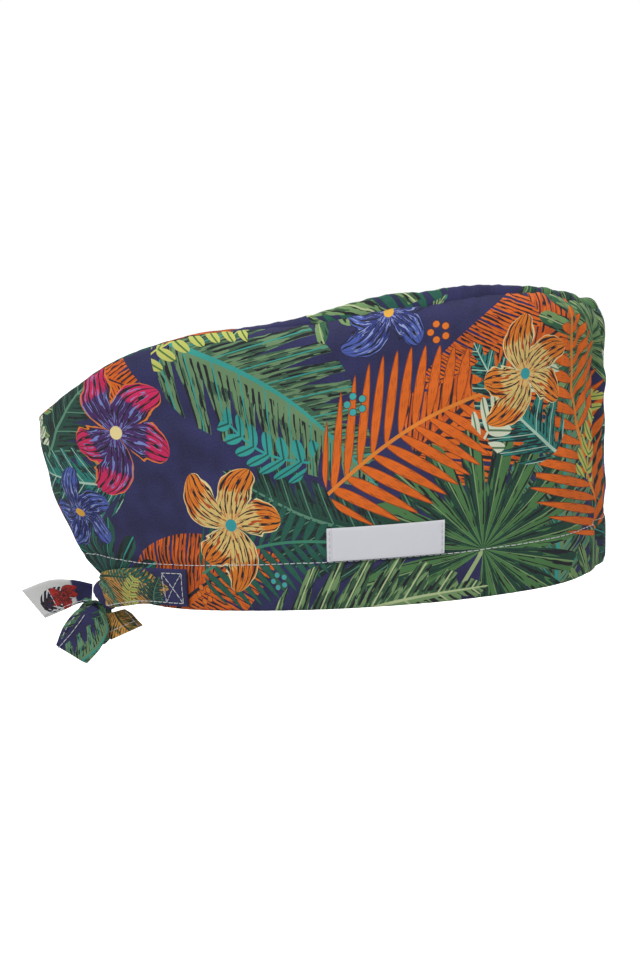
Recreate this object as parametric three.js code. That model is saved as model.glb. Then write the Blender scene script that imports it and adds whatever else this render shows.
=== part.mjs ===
// Tie-back surgical scrub cap of printed cotton, as a head holds it. Millimetres.
// +Z is up, +X is the brow, -Y is the wearer's right. The origin is the middle of the head opening.

import * as THREE from 'three';
import { LoftGeometry } from 'three/addons/geometries/LoftGeometry.js';

// Head opening, measured from its middle
const RIM_FRONT = 121.5;
const RIM_BACK = 116.5;
const RIM_HALF_WIDTH = 73;
const RIM_RISE = 11;
const RIM_DROP = 8;

// Seam between the side band and the crown
const SEAM_FRONT = 114;
const SEAM_BACK = 150;
const SEAM_HALF_WIDTH = 64;
const CROWN_HEIGHT = 137;
const CROWN_MIDDLE = -10;
const CROWN_SAG = 3;
const CROWN_LEAN = 6.5; // how much lower the seam lies over the left ear

// How the cloth stands out
const WALL_BELLY = 6.5;
const WALL_SHOULDER = 5.8;
const ROLL_HEIGHT = 5.8;
const ROLL_WIDTH = 20;
const CROWN_EDGE = 13; // the part of the crown whose rings keep their distance from the seam
const GATHER_DEPTH = 1.5;
const GATHER_PITCH = 10.5;
const GATHER_SPREAD = 62;
const GATHER_REACH = 16;
const SEAM_PINCH = 0.52; // share of the gathers' depth that the seam takes away
const NAPE_GATHER_DEPTH = 1.6;
const NAPE_GATHER_PITCH = 8.5;
const NAPE_GATHER_SPREAD = 34;
const NAPE_GATHER_HEIGHT = 13;
const CINCH_DEPTH = 1.6;
const STITCH_SINK = 0.6;
const STITCH_GROOVE = 1.8;
const FOLD_WIDTH = 8;
const FOLD_DEPTH = 2;

// Cloth, hem and ties
const CLOTH = 1.3;
const HEM_PLY = 0.9;
const HEM_HEIGHT = 21.7;
const SEAM_GAP = 0.3;
const SEWN_GAP = 0.3;
const TIE_WIDTH = 17.4;
const TIE_THICKNESS = 1.5;
const STRAP_REACH = 66.5;
const STRAP_SLANT = 0.23;
const STRAP_LIFT = 4;
const STRAP_TOP_LIFT = 0.45; // share of the lift at the tie's upper edge
const KNOT_DEPTH = 7.4;
const KNOT_WIDTH = 17;
const KNOT_HEIGHT = 14.9;
const KNOT_ABOVE_RIM = -0.5; // the level that the loops and ends leave from
const KNOT_RAISE = 0.9; // the wrap's middle above that level
const KNOT_SEAT = 0.2;
const KNOT_SQUARENESS = 0.72;
const RIGHT_LOOP_LENGTH = 32.4;
const LEFT_LOOP_LENGTH = 29;
const LOOP_DEPTH = 2.4;
const LOOP_FLAT = [0.86, 0, -0.5]; // the way the loops' width lies
const RIGHT_LOOP_WAY = [-0.51, -0.28, -0.82];
const LEFT_LOOP_WAY = [-0.4, 0.45, -0.8];
const UPPER_END_LENGTH = 31;
const LOWER_END_LENGTH = 22;

// Woven label
const LABEL_LENGTH = 50;
const LABEL_HEIGHT = 14.8;
const LABEL_ABOVE_STITCH = 0.6;
const LABEL_THICKNESS = 0.7;
const LABEL_FROM_NAPE = 157;

// Facets
const COLUMNS = 120;
const FINE_COLUMNS = 0.55;
const LABEL_SECTIONS = 15;
const STRAP_SECTIONS = 26;
const LOOP_SECTIONS = 25;
const END_SECTIONS = 10;
const STEP = 1e-3; // share over which a surface's direction is taken

const COTTON = { color: 0x3d5450, roughness: 0.85, metalness: 0 };
const TIE_COTTON = { color: 0x55604a, roughness: 0.85, metalness: 0 };
const TAPE = { color: 0xf1f1ee, roughness: 0.6, metalness: 0 };

// Half of the cap's plan, brow to nape. Rim and seam columns are shares of the sizes above, along and across;
// lift is a share of the rim's rise or drop, and the last three are shares of belly, shoulder and roll.
const OUTLINE = [
  { place: 'brow', rim: [1, 0], lift: 1, seam: [1, 0], belly: 0.15, shoulder: 0.25, roll: 0.5 },
  { place: 'brow corner', rim: [0.905, 0.49], lift: 0.9,
    seam: [0.902, 0.5], belly: 0.3, shoulder: 0.6, roll: 0.5 },
  { place: 'brow side', rim: [0.724, 0.835], lift: 0.72,
    seam: [0.714, 0.81], belly: 0.65, shoulder: 0.96, roll: 0.4 },
  { place: 'temple', rim: [0.38, 1], lift: 0.38,
    seam: [0.392, 0.985], belly: 0.92, shoulder: 0.93, roll: 0.95 },
  { place: 'above ear', rim: [0, 0.98], lift: 0, seam: [0, 1], belly: 1, shoulder: 0.93, roll: 1 },
  { place: 'behind ear', rim: [-0.378, 0.82], lift: -0.51,
    seam: [-0.333, 0.9], belly: 1, shoulder: 0.8, roll: 0.15 },
  { place: 'back quarter', rim: [-0.705, 0.555], lift: -0.945,
    seam: [-0.72, 0.61], belly: 0.95, shoulder: 0.43, roll: 0.05 },
  { place: 'nape side', rim: [-0.94, 0.25], lift: -0.93,
    seam: [-0.933, 0.22], belly: 1.15, shoulder: 0.1, roll: 0.05 },
  { place: 'nape', rim: [-1, 0], lift: -1, seam: [-1, 0], belly: 1.2, shoulder: 0, roll: 0.05 },
];

// The seam's height from brow to nape, as shares of the seam's reach and of the crown's height
const TOP_LINE = [
  { along: 1, height: 0.928 },
  { along: 0.902, height: 0.957 },
  { along: 0.732, height: 0.997 },
  { along: 0.536, height: 0.995 },
  { along: 0.3125, height: 0.972 },
  { along: 0.16, height: 0.956 },
  { along: 0, height: 0.929 },
  { along: -0.133, height: 0.902 },
  { along: -0.3, height: 0.885 },
  { along: -0.453, height: 0.867 },
  { along: -0.6, height: 0.825 },
  { along: -0.733, height: 0.766 },
  { along: -0.867, height: 0.672 },
  { along: -1, height: 0.562 },
];

// Section of the crown's edge roll: shares of its width inwards and of its height
const ROLL_SECTION = [
  { inward: 0, rise: 0 },
  { inward: 0.075, rise: 0.74 },
  { inward: 0.2, rise: 1 },
  { inward: 0.4, rise: 0.62 },
  { inward: 0.7, rise: 0.14 },
  { inward: 1, rise: 0 },
];

// Single folds of the side band. Turns run from the brow by the left ear, the nape and the right ear;
// from and to are shares of the wall's height, width and depth of those sizes, and a dent is negative.
const FOLDS = [
  { name: 'brow ridge', turns: [0.972, 0.955], from: 1, to: 0.6, width: 0.62, depth: 1.1 },
  { name: 'brow valley', turns: [0.955, 0.94], from: 1, to: 0.55, width: 0.62, depth: -0.8 },
  { name: 'left brow ridge', turns: [0.03, 0.045], from: 1, to: 0.6, width: 0.62, depth: 1 },
  { name: 'right corner crinkle', turns: [0.905, 0.9], from: 1, to: 0.35, width: 0.6, depth: -0.5 },
  { name: 'right corner crease', turns: [0.924, 0.93], from: 0.9, to: 0.1, width: 0.55, depth: 0.5 },
  { name: 'right brow crinkle', turns: [0.94, 0.948], from: 0.85, to: 0.05, width: 0.5, depth: -0.55 },
  { name: 'right brow crease', turns: [0.957, 0.963], from: 0.85, to: 0.1, width: 0.5, depth: 0.5 },
  { name: 'middle brow crinkle', turns: [0.975, 0.974], from: 0.9, to: 0.15, width: 0.5, depth: -0.45 },
  { name: 'left brow crease', turns: [0.018, 0.02], from: 0.9, to: 0.15, width: 0.5, depth: 0.45 },
  { name: 'left brow crinkle', turns: [0.058, 0.05], from: 0.85, to: 0.1, width: 0.5, depth: -0.5 },
  { name: 'left corner crinkle', turns: [0.088, 0.095], from: 1, to: 0.3, width: 0.6, depth: -0.5 },
  { name: 'right temple pucker', turns: [0.79, 0.785], from: 1, to: 0.72, width: 0.88, depth: -0.7 },
  { name: 'left temple pucker', turns: [0.2, 0.215], from: 1, to: 0.7, width: 1, depth: -0.65 },
  { name: 'right nape drag', turns: [0.545, 0.6], from: 0.3, to: 0.5, width: 1, depth: -0.9 },
  { name: 'right nape drag ridge', turns: [0.53, 0.57], from: 0.25, to: 0.62, width: 1, depth: 0.8 },
  { name: 'left nape drag', turns: [0.455, 0.4], from: 0.3, to: 0.5, width: 1, depth: -0.9 },
  { name: 'right shoulder kink', turns: [0.6, 0.64], from: 0.97, to: 0.86, width: 0.75, depth: -0.6 },
  { name: 'left shoulder kink', turns: [0.4, 0.36], from: 0.97, to: 0.86, width: 0.75, depth: -0.6 },
];

const mix = (a, b, share) => a + (b - a) * share;
const smooth = (low, high, value) => THREE.MathUtils.smoothstep(value, low, high);
const bell = (distance, width) => Math.exp(-((distance / width) ** 2));

// Outline values all the way round: the left half from brow to nape, then the right half back
const inner = OUTLINE.slice(1, -1).reverse();
const ring = (value) => [...OUTLINE.map((row) => value(row, 1)), ...inner.map((row) => value(row, -1))];
const reach = (share, front, back) => share * (share > 0 ? front : back);
const RINGS = {
  rimX: ring((row) => reach(row.rim[0], RIM_FRONT, RIM_BACK)),
  rimY: ring((row, side) => side * row.rim[1] * RIM_HALF_WIDTH),
  rimZ: ring((row) => reach(row.lift, RIM_RISE, RIM_DROP)),
  seamX: ring((row) => reach(row.seam[0], SEAM_FRONT, SEAM_BACK)),
  seamY: ring((row, side) => side * row.seam[1] * SEAM_HALF_WIDTH),
  belly: ring((row) => row.belly * WALL_BELLY),
  shoulder: ring((row) => row.shoulder * WALL_SHOULDER),
  roll: ring((row) => row.roll * ROLL_HEIGHT),
};

// Catmull-Rom value of a closed list at a turn from 0 to 1
function around(values, turn) {
  const count = values.length;
  const place = (((turn % 1) + 1) % 1) * count;
  const first = Math.floor(place);
  const t = place - first;
  const [a, b, c, d] = [-1, 0, 1, 2].map((step) => values[(first + step + count) % count]);
  const bend = (2 * a - 5 * b + 4 * c - d) * t ** 2 + (3 * b - a - 3 * c + d) * t ** 3;
  return 0.5 * (2 * b + (c - a) * t + bend);
}

// Smooth curve through a table's rows, with its first column rising or falling
function along(table, key, value, at) {
  const rising = table[table.length - 1][key] > table[0][key];
  const rows = rising ? table : [...table].reverse();
  const last = rows.length - 1;
  const spot = THREE.MathUtils.clamp(at, rows[0][key], rows[last][key]);
  const above = rows.findIndex((row) => row[key] > spot);
  const i = above < 1 ? last - 1 : above - 1;
  const slope = (k) => {
    const [low, high] = [rows[Math.max(0, k - 1)], rows[Math.min(last, k + 1)]];
    return (high[value] - low[value]) / (high[key] - low[key]);
  };
  const span = rows[i + 1][key] - rows[i][key];
  const t = (spot - rows[i][key]) / span;
  const bend = t * (1 - t) * span;
  const blend = t * t * (3 - 2 * t);
  return mix(rows[i][value], rows[i + 1][value], blend) + bend * ((1 - t) * slope(i) - t * slope(i + 1));
}

function topHeight(x, y) {
  const level = CROWN_HEIGHT * along(TOP_LINE, 'along', 'height', x > 0 ? x / SEAM_FRONT : x / SEAM_BACK);
  return level - CROWN_LEAN * smooth(0, SEAM_HALF_WIDTH, y);
}

function rimPoint(turn) {
  return new THREE.Vector3(around(RINGS.rimX, turn), around(RINGS.rimY, turn), around(RINGS.rimZ, turn));
}

function seamPoint(turn) {
  const [x, y] = [around(RINGS.seamX, turn), around(RINGS.seamY, turn)];
  return new THREE.Vector3(x, y, topHeight(x, y));
}

// Level direction that points out of the cap at a turn
function outward(turn) {
  const middle = (at) => rimPoint(at).add(seamPoint(at));
  const run = middle(turn + STEP).sub(middle(turn - STEP));
  return new THREE.Vector3(run.y, -run.x, 0).normalize();
}

const wallLength = (turn) => seamPoint(turn).distanceTo(rimPoint(turn));

// Rim length from the nape along the right half, for what is sewn at a measured place
const RIM_STEPS = 400;
const napeLengths = [0];
for (let step = 1; step <= RIM_STEPS; step += 1) {
  const [a, b] = [step - 1, step].map((count) => rimPoint(0.5 + (0.5 * count) / RIM_STEPS));
  napeLengths.push(napeLengths[step - 1] + a.distanceTo(b));
}
const HALF_RIM = napeLengths[RIM_STEPS];

function turnFromNape(distance) {
  const step = Math.max(1, napeLengths.findIndex((length) => length >= distance));
  const share = (distance - napeLengths[step - 1]) / (napeLengths[step] - napeLengths[step - 1]);
  return 0.5 + (0.5 * (step - 1 + share)) / RIM_STEPS;
}

// Signed distances from brow and nape, in millimetres of rim
const fromBrow = (turn) => (turn > 0.5 ? turn - 1 : turn) * 2 * HALF_RIM;
const fromNape = (turn) => (turn - 0.5) * 2 * HALF_RIM;

// The shoulder swells late and is drawn in again at the seam
const SHOULDER_FULLEST = 0.918;
const shoulderSwell = (share) => share ** 6 * (1 - share ** 14);

// Side band without its folds: share runs from 0 at the rim to 1 at the seam
const CINCH_SHARE = 0.06;
const CINCH_SPREAD = 0.07;
const CINCH_REACH = 38;
function smoothWall(turn, share) {
  const belly = around(RINGS.belly, turn) * 4 * share * (1 - share);
  const shoulder = (around(RINGS.shoulder, turn) * shoulderSwell(share)) / shoulderSwell(SHOULDER_FULLEST);
  const cinch = CINCH_DEPTH * bell(share - CINCH_SHARE, CINCH_SPREAD) * bell(fromNape(turn), CINCH_REACH);
  return rimPoint(turn)
    .lerp(seamPoint(turn), share)
    .addScaledVector(outward(turn), belly + shoulder - cinch);
}

function wallNormal(turn, share) {
  const spot = THREE.MathUtils.clamp(share, 0, 1);
  const low = Math.max(0, spot - STEP);
  const high = Math.min(1, spot + STEP);
  const run = smoothWall(turn + STEP, spot).sub(smoothWall(turn - STEP, spot));
  const rise = smoothWall(turn, high).sub(smoothWall(turn, low));
  return run.cross(rise).normalize();
}

// A row of gathers, from -1 to 1, whose spacing wanders by a fifth of its pitch
function gatherWave(distance, pitch) {
  const wander = 0.22 * pitch * Math.sin((1.15 * distance) / pitch);
  return Math.sin((2 * Math.PI * (distance + wander)) / pitch);
}

function browGathers(turn, share) {
  const brow = fromBrow(turn);
  const grow = smooth(0.45, 0.95, share) * (1 - SEAM_PINCH * share ** 12);
  return GATHER_DEPTH * gatherWave(brow, GATHER_PITCH) * bell(brow, GATHER_SPREAD) * grow;
}

function napeGathers(turn, height) {
  const nape = fromNape(turn);
  const pull = bell(nape, NAPE_GATHER_SPREAD) * bell(height - 0.8 * HEM_HEIGHT, NAPE_GATHER_HEIGHT);
  return 0.5 * NAPE_GATHER_DEPTH * (gatherWave(nape, NAPE_GATHER_PITCH) - 1) * pull;
}

// Shares of a fold's run over which it rises from the cloth and dies away again
const FOLD_RISE = [-0.45, 0.1];
const FOLD_WANE = [0.8, 1.45];

function foldDepth(turn, share) {
  const height = share * wallLength(turn);
  const groove = -STITCH_SINK * bell(height - HEM_HEIGHT, STITCH_GROOVE);
  let depth = browGathers(turn, share) + napeGathers(turn, height) + groove;
  for (const fold of FOLDS) {
    const run = (share - fold.from) / (fold.to - fold.from);
    const middle = mix(...fold.turns, THREE.MathUtils.clamp(run, FOLD_RISE[0], FOLD_WANE[1]));
    const fade = smooth(...FOLD_RISE, run) * (1 - smooth(...FOLD_WANE, run));
    depth += fold.depth * FOLD_DEPTH * bell((turn - middle) * 2 * HALF_RIM, fold.width * FOLD_WIDTH) * fade;
  }
  return depth;
}

function wallPoint(turn, share) {
  return smoothWall(turn, share).addScaledVector(wallNormal(turn, share), foldDepth(turn, share));
}

const hemShare = (turn) => HEM_HEIGHT / wallLength(turn);

// Columns crowd towards brow and nape, where the gathers are
function columnTurn(column) {
  const even = column / COLUMNS;
  return even - (FINE_COLUMNS * Math.sin(4 * Math.PI * even)) / (4 * Math.PI);
}

const sweep = (count, section) => Array.from({ length: count }, (_, index) => section(index));

function piece(name, sections, finish, options) {
  const mesh = new THREE.Mesh(new LoftGeometry(sections, options), new THREE.MeshStandardMaterial(finish));
  mesh.name = name;
  return mesh;
}

const POLE_SIZE = 1e-3;

// Where a ring has shrunk to one point, its flat triangles are dropped
function closePoles(geometry) {
  const spots = geometry.getAttribute('position');
  const spot = (corner) => new THREE.Vector3().fromBufferAttribute(spots, corner);
  const kept = [];
  for (let first = 0; first < geometry.index.count; first += 3) {
    const corners = [0, 1, 2].map((step) => geometry.index.getX(first + step));
    const sides = corners.map((corner, step) => spot(corner).distanceTo(spot(corners[(step + 1) % 3])));
    if (Math.min(...sides) > POLE_SIZE) kept.push(...corners);
  }
  geometry.setIndex(kept);
}

// Side band: outer face up, inner face down. The hem is doubled on the inside.
const HEM_ROWS = [0, 0.3, 0.6, 0.9, 1];
const WALL_ROWS = [0.03, 0.11, 0.22, 0.35, 0.49, 0.62, 0.74, 0.84, 0.91, 0.965, 1];
const LINING_ROWS = [1, 0.93, 0.8, 0.6, 0.35, 0.03];
const HEM_LINING_ROWS = [0.97, 0];

function liningPoint(turn, share, thickness) {
  return wallPoint(turn, share).addScaledVector(wallNormal(turn, share), -thickness);
}

function bandSection(turn) {
  const hem = hemShare(turn);
  const aboveHem = (row) => mix(hem, 1, row);
  const outer = [...HEM_ROWS.map((row) => row * hem), ...WALL_ROWS.map(aboveHem)];
  const section = [
    ...outer.map((share) => wallPoint(turn, share)),
    ...LINING_ROWS.map((row) => liningPoint(turn, aboveHem(row), CLOTH)),
    ...HEM_LINING_ROWS.map((row) => liningPoint(turn, row * hem, CLOTH + HEM_PLY)),
  ];
  return section.reverse();
}

const bandSections = sweep(COLUMNS + 1, (column) => bandSection(columnTurn(column % COLUMNS)));
const sideBand = piece('side_band', bandSections, COTTON);

// Crown: one panel with a soft roll along the seam. Its rings lie at shares of its edge in from the seam,
// and from there at shares of the way to the middle.
const edgeRing = (share) => ({ inward: share * CROWN_EDGE, share: 0 });
const middleRing = (share) => ({ inward: CROWN_EDGE, share });
const CROWN_RINGS = [...[0, 0.12, 0.3, 0.6, 1].map(edgeRing), ...[0.25, 0.55, 0.8, 1].map(middleRing)];
const CROWN_LINING_RINGS = [...[0, 0.3, 0.6, 1].map(edgeRing), ...[0.55, 0.8, 1].map(middleRing)];

function crownPoint(turn, inward) {
  const seam = smoothWall(turn, 1);
  const run = new THREE.Vector3(CROWN_MIDDLE - seam.x, -seam.y, 0);
  const share = inward / run.length();
  const roll = around(RINGS.roll, turn) * along(ROLL_SECTION, 'inward', 'rise', inward / ROLL_WIDTH);
  const point = seam.addScaledVector(run, share);
  point.z = topHeight(point.x, point.y) + roll - CROWN_SAG * smooth(0, 1, share);
  const gather = foldDepth(turn, 1) * bell(inward, GATHER_REACH);
  const gap = wallPoint(turn, 1).sub(wallPoint(turn, 0.99)).setLength(SEAM_GAP);
  return point.addScaledVector(wallNormal(turn, 1), gather).addScaledVector(gap, 1 - share);
}

function crownNormal(turn, inward) {
  const reachStep = 0.4;
  const across = crownPoint(turn, inward + reachStep).sub(crownPoint(turn, inward - reachStep));
  const round = crownPoint(turn + STEP, inward).sub(crownPoint(turn - STEP, inward));
  return round.cross(across).normalize();
}

function crownRing(ring, depth) {
  return sweep(COLUMNS, (column) => {
    const turn = columnTurn(column);
    const seam = smoothWall(turn, 1);
    const inward = mix(ring.inward, Math.hypot(CROWN_MIDDLE - seam.x, seam.y), ring.share);
    const point = crownPoint(turn, inward);
    if (ring.share === 1) return point.setZ(point.z - depth);
    const normal = inward === 0 ? wallNormal(turn, 1) : crownNormal(turn, inward);
    return point.addScaledVector(normal, -depth);
  });
}

const crownLining = CROWN_LINING_RINGS.reverse().map((ring) => crownRing(ring, CLOTH));
const crownFace = CROWN_RINGS.map((ring) => crownRing(ring, 0));
const crownPanel = piece('crown_panel', [...crownLining, ...crownFace], COTTON);
closePoles(crownPanel.geometry);

// A place on the smooth wall: millimetres from the nape, above the rim and out of the cloth
function onWall(distance, height, lift) {
  const turn = turnFromNape(distance);
  const share = height / wallLength(turn);
  return smoothWall(turn, share).addScaledVector(wallNormal(turn, share), lift);
}

// A flat strip's ring, outer face up and inner face down
function stripSection(distance, low, high, lift, thickness, rows, slant = 0, topLift = lift) {
  const heights = sweep(rows, (row) => mix(low, high, row / (rows - 1)));
  const liftAt = (height) => mix(lift, topLift, (height - low) / (high - low));
  const leaning = (height) => distance + slant * (height - (low + high) / 2);
  const spot = (height, out) => onWall(leaning(height), height, out + liftAt(height));
  const outer = heights.map((height) => spot(height, thickness));
  const back = heights.reverse().map((height) => spot(height, 0));
  return [...outer, ...back];
}

const CAPPED = { capStart: true, capEnd: true };

// Woven label, its lower edge in the hem's stitching
const labelSections = sweep(LABEL_SECTIONS, (index) =>
  stripSection(
    LABEL_FROM_NAPE + LABEL_LENGTH * (0.5 - index / (LABEL_SECTIONS - 1)),
    HEM_HEIGHT + LABEL_ABOVE_STITCH,
    HEM_HEIGHT + LABEL_ABOVE_STITCH + LABEL_HEIGHT,
    SEWN_GAP,
    LABEL_THICKNESS,
    4,
  ),
);
const sideLabel = piece('side_label', labelSections, TAPE, CAPPED);

// A tie's course from its box-stitched tab to the knot, where it leaves the cloth and hangs a little lower.
// Its lower edge above the rim and its width are shares of the tie's width, lift a share of its own size.
const STRAP_COURSE = [
  { run: 0, low: 0.14, width: 1.04, lift: 0 },
  { run: 0.3, low: 0.125, width: 1.06, lift: 0 },
  { run: 0.5, low: 0.06, width: 1.05, lift: 0.08 },
  { run: 0.69, low: -0.06, width: 1.04, lift: 0.4 },
  { run: 0.816, low: -0.12, width: 0.98, lift: 0.78 },
  { run: 0.9, low: -0.15, width: 0.78, lift: 1 },
  { run: 1, low: -0.15, width: 0.5, lift: 0.95 },
];
const knotSide = KNOT_WIDTH / 2 + SEWN_GAP;

function strapSection(index) {
  const run = index / (STRAP_SECTIONS - 1);
  const distance = mix(STRAP_REACH, knotSide, run);
  const low = TIE_WIDTH * along(STRAP_COURSE, 'run', 'low', run);
  const width = TIE_WIDTH * along(STRAP_COURSE, 'run', 'width', run);
  const lift = STRAP_LIFT * along(STRAP_COURSE, 'run', 'lift', run);
  const slant = STRAP_SLANT * (1 - run);
  const [lowLift, topLift] = [SEWN_GAP + lift, SEWN_GAP + STRAP_TOP_LIFT * lift];
  return stripSection(distance, low, low + width, lowLift, TIE_THICKNESS, 5, slant, topLift);
}

const mirroredSection = (section) => section.map((point) => point.clone().setY(-point.y)).reverse();
const strapSections = sweep(STRAP_SECTIONS, strapSection);
const rightStrap = piece('right_tie_strap', strapSections, TIE_COTTON, CAPPED);
const leftStrap = piece('left_tie_strap', strapSections.map(mirroredSection), TIE_COTTON, CAPPED);

// Knot: a squarish wrap pressed against the nape, leaning with the cloth behind it
const knotMiddle = onWall(0, KNOT_ABOVE_RIM, SEWN_GAP + KNOT_SEAT + KNOT_DEPTH / 2);
const knotUp = onWall(0, KNOT_HEIGHT, 0).sub(onWall(0, 0, 0)).normalize();
const knotGeometry = new THREE.SphereGeometry(1, 18, 12);
const knotSpots = knotGeometry.getAttribute('position');
const knotCrease = { depth: 0.1, height: 0.22, slope: 0.5 };
for (let index = 0; index < knotSpots.count; index += 1) {
  const spot = new THREE.Vector3().fromBufferAttribute(knotSpots, index);
  const square = (value) => Math.sign(value) * Math.abs(value) ** KNOT_SQUARENESS;
  const wrap = 1 - knotCrease.depth * bell(spot.z - knotCrease.slope * spot.y, knotCrease.height);
  knotSpots.setXYZ(
    index,
    (square(spot.x) * wrap * KNOT_DEPTH) / 2,
    (square(spot.y) * wrap * KNOT_WIDTH) / 2,
    (square(spot.z) * KNOT_HEIGHT) / 2,
  );
}
const bowKnot = new THREE.Mesh(knotGeometry, new THREE.MeshStandardMaterial(TIE_COTTON));
bowKnot.name = 'bow_knot';
bowKnot.position.copy(knotMiddle).addScaledVector(knotUp, KNOT_RAISE);
bowKnot.quaternion.setFromUnitVectors(new THREE.Vector3(0, 0, 1), knotUp);

// Section of a folded tie: shares of its width and of half its thickness
const TIE_RING = [
  { wide: 0.5, thick: 0 },
  { wide: 0.46, thick: 1 },
  { wide: -0.46, thick: 1 },
  { wide: -0.5, thick: 0 },
  { wide: -0.46, thick: -1 },
  { wide: 0.46, thick: -1 },
];

// A tie swept through rows of a place and a width, both measured from the knot's middle
function ribbonSections(places, widths, count) {
  const path = new THREE.CatmullRomCurve3(places, false, 'centripetal');
  const across = new THREE.CatmullRomCurve3(widths, false, 'centripetal');
  return sweep(count, (index) => {
    const at = index / (count - 1);
    const width = across.getPoint(at);
    const face = path.getTangent(at).cross(width).setLength(TIE_THICKNESS / 2);
    const middle = path.getPoint(at).add(knotMiddle);
    return TIE_RING.map((spot) =>
      middle.clone().addScaledVector(width, spot.wide).addScaledVector(face, spot.thick),
    );
  });
}

// The two loops: out from the knot, round a soft fold and back. Shares of length, fullness and tie width.
const LOOP_PATH = [
  { out: 0.24, side: -0.42, width: 0.5, slide: 0 },
  { out: 0.42, side: -0.85, width: 0.88, slide: -0.09 },
  { out: 0.72, side: -1, width: 1, slide: -0.1 },
  { out: 0.94, side: -0.7, width: 1, slide: -0.03 },
  { out: 1, side: 0, width: 1, slide: 0 },
  { out: 0.94, side: 0.7, width: 1, slide: 0.03 },
  { out: 0.72, side: 1, width: 1, slide: 0.1 },
  { out: 0.42, side: 0.85, width: 0.88, slide: 0.09 },
  { out: 0.24, side: 0.42, width: 0.5, slide: 0 },
];

function loopSections(length, way) {
  const out = new THREE.Vector3(...way).normalize();
  const across = new THREE.Vector3(...LOOP_FLAT);
  across.addScaledVector(out, -across.dot(out)).normalize();
  const face = out.clone().cross(across);
  const places = LOOP_PATH.map((row) =>
    new THREE.Vector3()
      .addScaledVector(out, row.out * length)
      .addScaledVector(face, row.side * LOOP_DEPTH)
      .addScaledVector(across, row.slide * TIE_WIDTH),
  );
  const widths = LOOP_PATH.map((row) => across.clone().multiplyScalar(row.width * TIE_WIDTH));
  return ribbonSections(places, widths, LOOP_SECTIONS);
}

const rightSections = loopSections(RIGHT_LOOP_LENGTH, RIGHT_LOOP_WAY);
const leftSections = loopSections(LEFT_LOOP_LENGTH, LEFT_LOOP_WAY);
const rightLoop = piece('right_bow_loop', rightSections, TIE_COTTON, CAPPED);
const leftLoop = piece('left_bow_loop', leftSections, TIE_COTTON, CAPPED);

// The two free ends. Places are shares of the end's length, widths shares of the tie's width.
const UPPER_END = [
  { at: [-0.214, -0.08, 0.07], across: [-0.03, 0, -0.5] },
  { at: [-0.46, -0.13, 0.1], across: [0.13, 0.25, -0.7] },
  { at: [-0.76, -0.18, 0.055], across: [0.35, 0.15, -0.88] },
  { at: [-1.12, -0.22, -0.08], across: [0.62, 0.03, -0.8] },
];
const LOWER_END = [
  { at: [0.16, 0.02, -0.36], across: [0.56, 0, 0.15] },
  { at: [0.21, 0, -0.52], across: [0.82, 0.04, 0.3] },
  { at: [0.3, -0.05, -0.67], across: [0.9, 0.02, 0.38] },
  { at: [0.43, -0.09, -0.81], across: [0.91, 0, 0.416] },
];

function endSections(rows, length) {
  const places = rows.map((row) => new THREE.Vector3(...row.at).multiplyScalar(length));
  const widths = rows.map((row) => new THREE.Vector3(...row.across).multiplyScalar(TIE_WIDTH));
  return ribbonSections(places, widths, END_SECTIONS);
}

const upperEnd = piece('upper_tie_end', endSections(UPPER_END, UPPER_END_LENGTH), TIE_COTTON, CAPPED);
const lowerEnd = piece('lower_tie_end', endSections(LOWER_END, LOWER_END_LENGTH), TIE_COTTON, CAPPED);

const cap = new THREE.Group();
cap.add(sideBand, crownPanel, sideLabel);
cap.add(rightStrap, leftStrap, bowKnot, rightLoop, leftLoop, upperEnd, lowerEnd);

export default cap;
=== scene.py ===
# Surgical scrub cap of printed cotton, held up as a head holds it, with its front towards +X.
# Shapes are worked out in millimetres in the frame of the CAD solids, and made in metres.

import math

import bpy
import numpy as np
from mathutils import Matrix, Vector


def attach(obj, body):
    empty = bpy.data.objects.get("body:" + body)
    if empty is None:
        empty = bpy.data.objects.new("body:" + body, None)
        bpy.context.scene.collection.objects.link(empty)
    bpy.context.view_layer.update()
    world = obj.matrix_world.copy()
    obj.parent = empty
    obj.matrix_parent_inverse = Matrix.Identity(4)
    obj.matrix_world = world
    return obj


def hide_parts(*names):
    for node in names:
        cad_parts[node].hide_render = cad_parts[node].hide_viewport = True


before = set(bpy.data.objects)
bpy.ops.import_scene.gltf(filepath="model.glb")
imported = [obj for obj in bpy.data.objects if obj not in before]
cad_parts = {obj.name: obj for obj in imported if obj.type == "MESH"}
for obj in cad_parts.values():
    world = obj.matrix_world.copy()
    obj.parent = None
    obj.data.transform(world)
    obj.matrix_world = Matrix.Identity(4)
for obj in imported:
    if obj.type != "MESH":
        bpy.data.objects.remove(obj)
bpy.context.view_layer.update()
bpy.ops.object.select_all(action="DESELECT")
MM = 0.001

# The camera stands level with the top of the cap on the wearer's right and looks a little down at it.
CAMERA_PLACE = (-0.016, -0.700, 0.1485)
CAMERA_TILT = math.radians(81.7)
CAMERA_LENS = 55.125

bpy.ops.object.camera_add(location=CAMERA_PLACE, rotation=(CAMERA_TILT, 0, 0))
camera = bpy.context.object
camera.name = "photo_camera"
camera.data.lens = CAMERA_LENS
bpy.context.scene.camera = camera

# Plain pale floor, well below the ties, under soft studio light: a wide key lamp above the camera's left, a
# weaker fill at its right, and a bright even surround.
FLOOR_LEVEL = -0.19
LAMPS = [
    ["key_lamp", (-0.75, -1.15, 1.25), 0.8, 17],
    ["fill_lamp", (1.3, -0.8, 0.35), 0.9, 3],
    ["top_lamp", (0.1, 0.7, 1.5), 1.3, 9],
]


def linear(code):
    """Red, green and blue of a colour code, as the renderer counts them."""
    parts = [int(code[i : i + 2], 16) / 255 for i in (1, 3, 5)]
    return (*[part / 12.92 if part <= 0.04045 else ((part + 0.055) / 1.055) ** 2.4 for part in parts], 1)


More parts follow.
